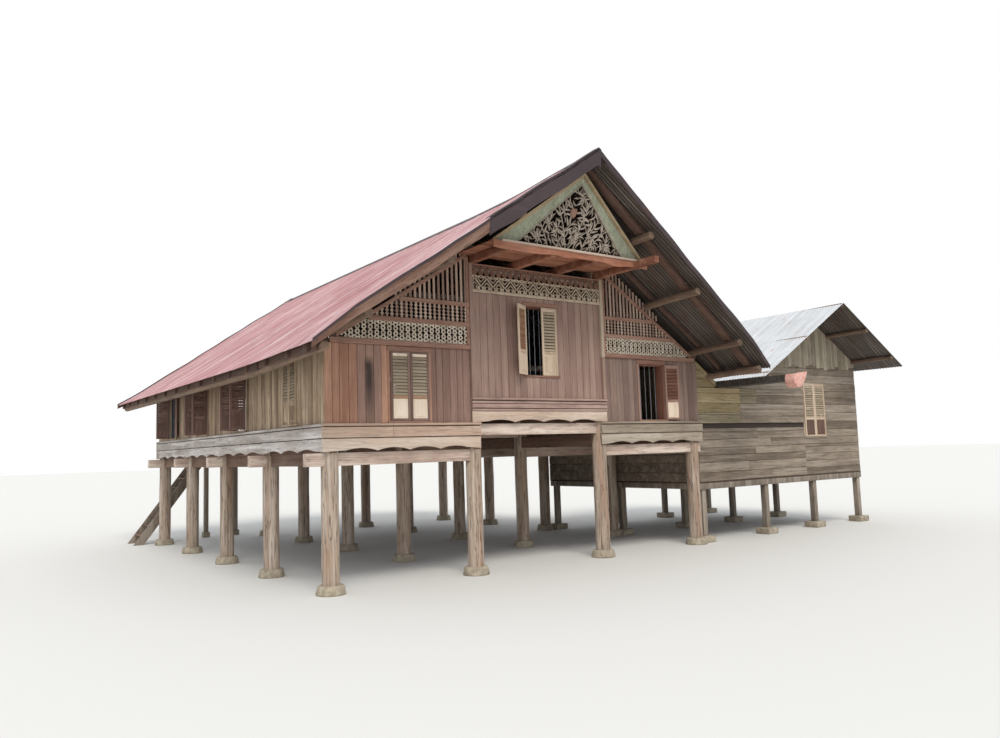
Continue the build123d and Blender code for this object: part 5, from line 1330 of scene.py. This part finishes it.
def annexEnd():
    window = hole("annex", annexX)
    edgeX, farX = annexX - window[1] / 2 - 0.046, annexX + window[1] / 2 + 0.046
    left, right, floor, yellowX, proud = (annex[key] for key in ("left", "right", "floor", "yellowX", "proud"))
    stepZ, rightStepZ, yellowZ, upperLeft = (annex[key] for key in ("stepZ", "rightStepZ", "yellowZ", "upperLeft"))
    fadeX, shadeStripFoot, plain, warm = yellowX + annex["fadeWide"], stepZ - annex["slot"], "annexBoards", "annexYellow"
    # The upper boards stand proud of the lower ones, and the line of shade under them is painted on a dark strip.
    shade = laid("paintedShadeBoards", [((left, 0.002, shadeStripFoot), (edgeX, 0.02, stepZ))])
    low = laid(plain, levelBoards(left, edgeX, floor, shadeStripFoot, 0.006, joints=True))
    lowRight = laid(plain, levelBoards(edgeX, right, floor, rightStepZ, -0.012))
    middle = laid(plain, levelBoards(yellowX, edgeX, stepZ, yellowZ, proud))
    high = laid(plain, levelBoards(fadeX, edgeX, yellowZ, gutterZ, proud))
    fade = [laid("yellowFade", levelBoards(left, yellowX, stepZ, yellowZ - 0.2, proud)),
            laid("yellowFade", levelBoards(yellowX, fadeX, yellowZ, gutterZ, proud))]
    highRight = laid(plain, levelBoards(edgeX, right, rightStepZ, gutterZ, gap=window))
    yellow = laid(warm, levelBoards(left, yellowX, yellowZ - 0.2, gutterZ, proud))
    wing = laid(warm, levelBoards(upperLeft, annex["mainEdge"], gutterZ, 3.95))
    cutOff(wing, (ridgeX, 0, ridgeZ - 0.15), Vector((roofPitch, 0, 1)).normalized())
    edge = laid(warm, levelBoards(upperLeft, left, 2.57, gutterZ))
    verges = [(x, ridgeZ - 0.15 - roofPitch * (x - ridgeX)) for x in (upperLeft, annex["mainEdge"])]
    trim = prism(warm, verges + [(x, z - 0.1) for x, z in verges[::-1]], "y", -0.03, -0.008, 0.003)
    upper = levelBoards(annex["gutterRight"], right, gutterZ, annex["gableZ"] + 0.1, 0.0, window, True)
    upper = underRoof(laid(plain, upper))
    # Thin dark boards behind the gaps, painted shade so that the joints read dark
    behind = [((left + 0.01, 0.026, floor + 0.01), (edgeX, 0.032, gutterZ - 0.01)),
              ((edgeX, 0.034, floor + 0.01), (farX, 0.04, window[2] - 0.036)),
              ((farX, 0.034, floor + 0.01), (right - 0.03, 0.04, 3.9)),
              ((10.25, 0.026, gutterZ - 0.01), (edgeX, 0.032, 3.9)),
              ((edgeX, 0.026, window[3] + 0.1), (farX, 0.032, 3.9))]
    lays, x = [], annex["gutterRight"] + 0.75
    while x < right - 0.01:
        end = min(x + random.uniform(0.13, 0.19), right)
        lays.append(((x + 0.001, -0.016, annex["gableZ"] + random.uniform(-0.06, 0.05)), (end - 0.001, 0.0, 5.3)))
        x = end
    return joined([low, lowRight, middle, high, highRight, upper, yellow, wing, edge, trim, *fade, shade,
                   laid("paintedShadeBoards", behind, "sharp"), underRoof(laid("annexGable", lays))])


settlePair(annexEnd(), "annex_end_boards", "annex_end_walls", None, mirrored("y", annexDepth / 2))
window = hole("annex", annexDepth / 2)
faces["annexFront"] = same
faces["annexBack"] = moved(0, annexDepth, 0) @ turned(180)
faces["annexRight"] = moved(annex["right"], 0, 0) @ turned(90)
rightTop = annex["ridgeZ"] - annex["pitch"] * (annex["right"] - peakX) - 0.03
rightBoards = laid("annexBoards", levelBoards(0.022, annexDepth - 0.022, annex["floor"], rightTop, gap=window))
rightBoards.data.transform(faces["annexRight"])
leftBoards = laid("annexBoards", levelBoards(0.022 - annexDepth, -0.022, annex["floor"], 2.57))
leftBoards.data.transform(moved(annex["left"], 0, 0) @ turned(-90))
settle(joined([rightBoards, leftBoards]), "annex_side_boards", "annex_side_walls", None)

leaves, trims = [], []
for side, centre in (("annexFront", annexX), ("annexBack", -annexX), ("annexRight", annexDepth / 2)):
    leaves += leafPair(side, "annex", centre, "naveLeaf", "louvre", "darkPanel")
    trims.append(windowTrim(side, "annex", centre, 0, "annexBoards", "cream", "annexBoards"))
settle(joined(leaves), "annex_leaves", "annex_shutters")
settle(joined(trims), "annex_window_trims")

for way, half, side in (("left", 3.1488, -1), ("right", 2.4512, 1)):
    pieces = slopeSheets(half, annex["pitch"], annex["ridgeZ"], wave["start"] + 10 * wave["long"], 86, 2, 4, 0.004,
                         9.0 + side)
    for piece in pieces:
        if side > 0:
            flipped(piece, mirrored("x"))
        piece.data.transform(moved(peakX, 0, 0))
    roofPiece("annex_%s_sheets" % way, "annex_%s_roof" % way, pieces, "zinc")

gutter = cutOff(wornCopy("valley_gutter", "gutter"), (0, -1.895, 0), (0, -1, 0), False)
# A salmon scoop round the gutter's end, open at the top
scoop = prism("salmon", [(9.05, 3.42), (9.47, 3.475), (9.43, 3.38), (9.36, 3.27), (9.27, 3.18), (9.18, 3.14),
                         (9.09, 3.16), (9.03, 3.24), (9.02, 3.33)], "y", -2.03, -1.8, 0.012)
mesh = bmesh.new()
mesh.from_mesh(scoop.data)
bmesh.ops.delete(mesh, geom=[f for f in mesh.faces if f.normal.z > 0.8 or f.normal.y > 0.8], context="FACES")
mesh.to_mesh(scoop.data)
mesh.free()
modified(scoop, "SOLIDIFY", thickness=0.006, offset=-1)
settle(joined([gutter, scoop]), "gutter_and_spout", "valley_gutter")
for blank in blanks.values():
    dropped(blank)
print("annex made")

# A plain pale floor, a white backdrop, soft light, and the photograph's camera
look = newLook("plain_pale_floor")[0]
shader = look.node_tree.nodes["Principled BSDF"]
shader.inputs["Base Color"].default_value = shade("#d9d6d0")
shader.inputs["Roughness"].default_value = 0.9
bpy.ops.mesh.primitive_plane_add(size=400)
floor = bpy.context.object
floor.name = "floor"
floor.data.materials.append(look)

world = bpy.data.worlds.new("studio")
bpy.context.scene.world = world
world.use_nodes = True
tree = world.node_tree
sky = tree.nodes["Background"]
sky.inputs["Color"].default_value = (0.86, 0.92, 1.0, 1)
sky.inputs["Strength"].default_value = 0.95
rays = addNode(tree, "LightPath", out=None).outputs
direct = addNode(tree, "Math", {"operation": "MAXIMUM"}, {0: rays["Is Camera Ray"], 1: rays["Is Glossy Ray"]})
seen = addNode(tree, "Math", {"operation": "MAXIMUM"}, {0: direct, 1: rays["Is Transmission Ray"]})
backdrop = addNode(tree, "Background", {"Color": (1, 1, 1, 1), "Strength": 1.0})
mixed = addNode(tree, "MixShader", {}, {"Fac": seen, 1: sky.outputs[0], 2: backdrop})
tree.links.new(mixed, tree.nodes["World Output"].inputs["Surface"])

bpy.ops.object.light_add(type="SUN", rotation=(math.radians(38), 0, math.radians(-22)))
sun = bpy.context.object.data
sun.energy, sun.angle, sun.color = 2.0, math.radians(26), (1.0, 0.97, 0.92)

# The camera was solved from the photograph's vanishing points; focal is in pixels of a picture 1000 wide.
camera = {"place": (-5.137, -11.630, 2.066), "yaw": 0.6256, "lift": 0.1008, "roll": -0.0318, "focal": 809.57,
          "wide": 1000}
yaw, lift, roll = camera["yaw"], camera["lift"], camera["roll"]
ahead = Vector((math.sin(yaw) * math.cos(lift), math.cos(yaw) * math.cos(lift), math.sin(lift)))
level = Vector((math.cos(yaw), -math.sin(yaw), 0))
over = level.cross(ahead)
rightWay = math.cos(roll) * level + math.sin(roll) * over
upWay = -math.sin(roll) * level + math.cos(roll) * over
eye = bpy.data.objects.new("camera", bpy.data.cameras.new("camera"))
bpy.context.scene.collection.objects.link(eye)
turn = Matrix((rightWay, upWay, -ahead)).transposed().to_4x4()
eye.matrix_world = Matrix.Translation(Vector(camera["place"]) + cornerPost) @ turn
eye.data.lens = camera["focal"] / camera["wide"] * eye.data.sensor_width
bpy.context.scene.camera = eye
bpy.context.scene.view_settings.view_transform = "Standard"
print("stage made")
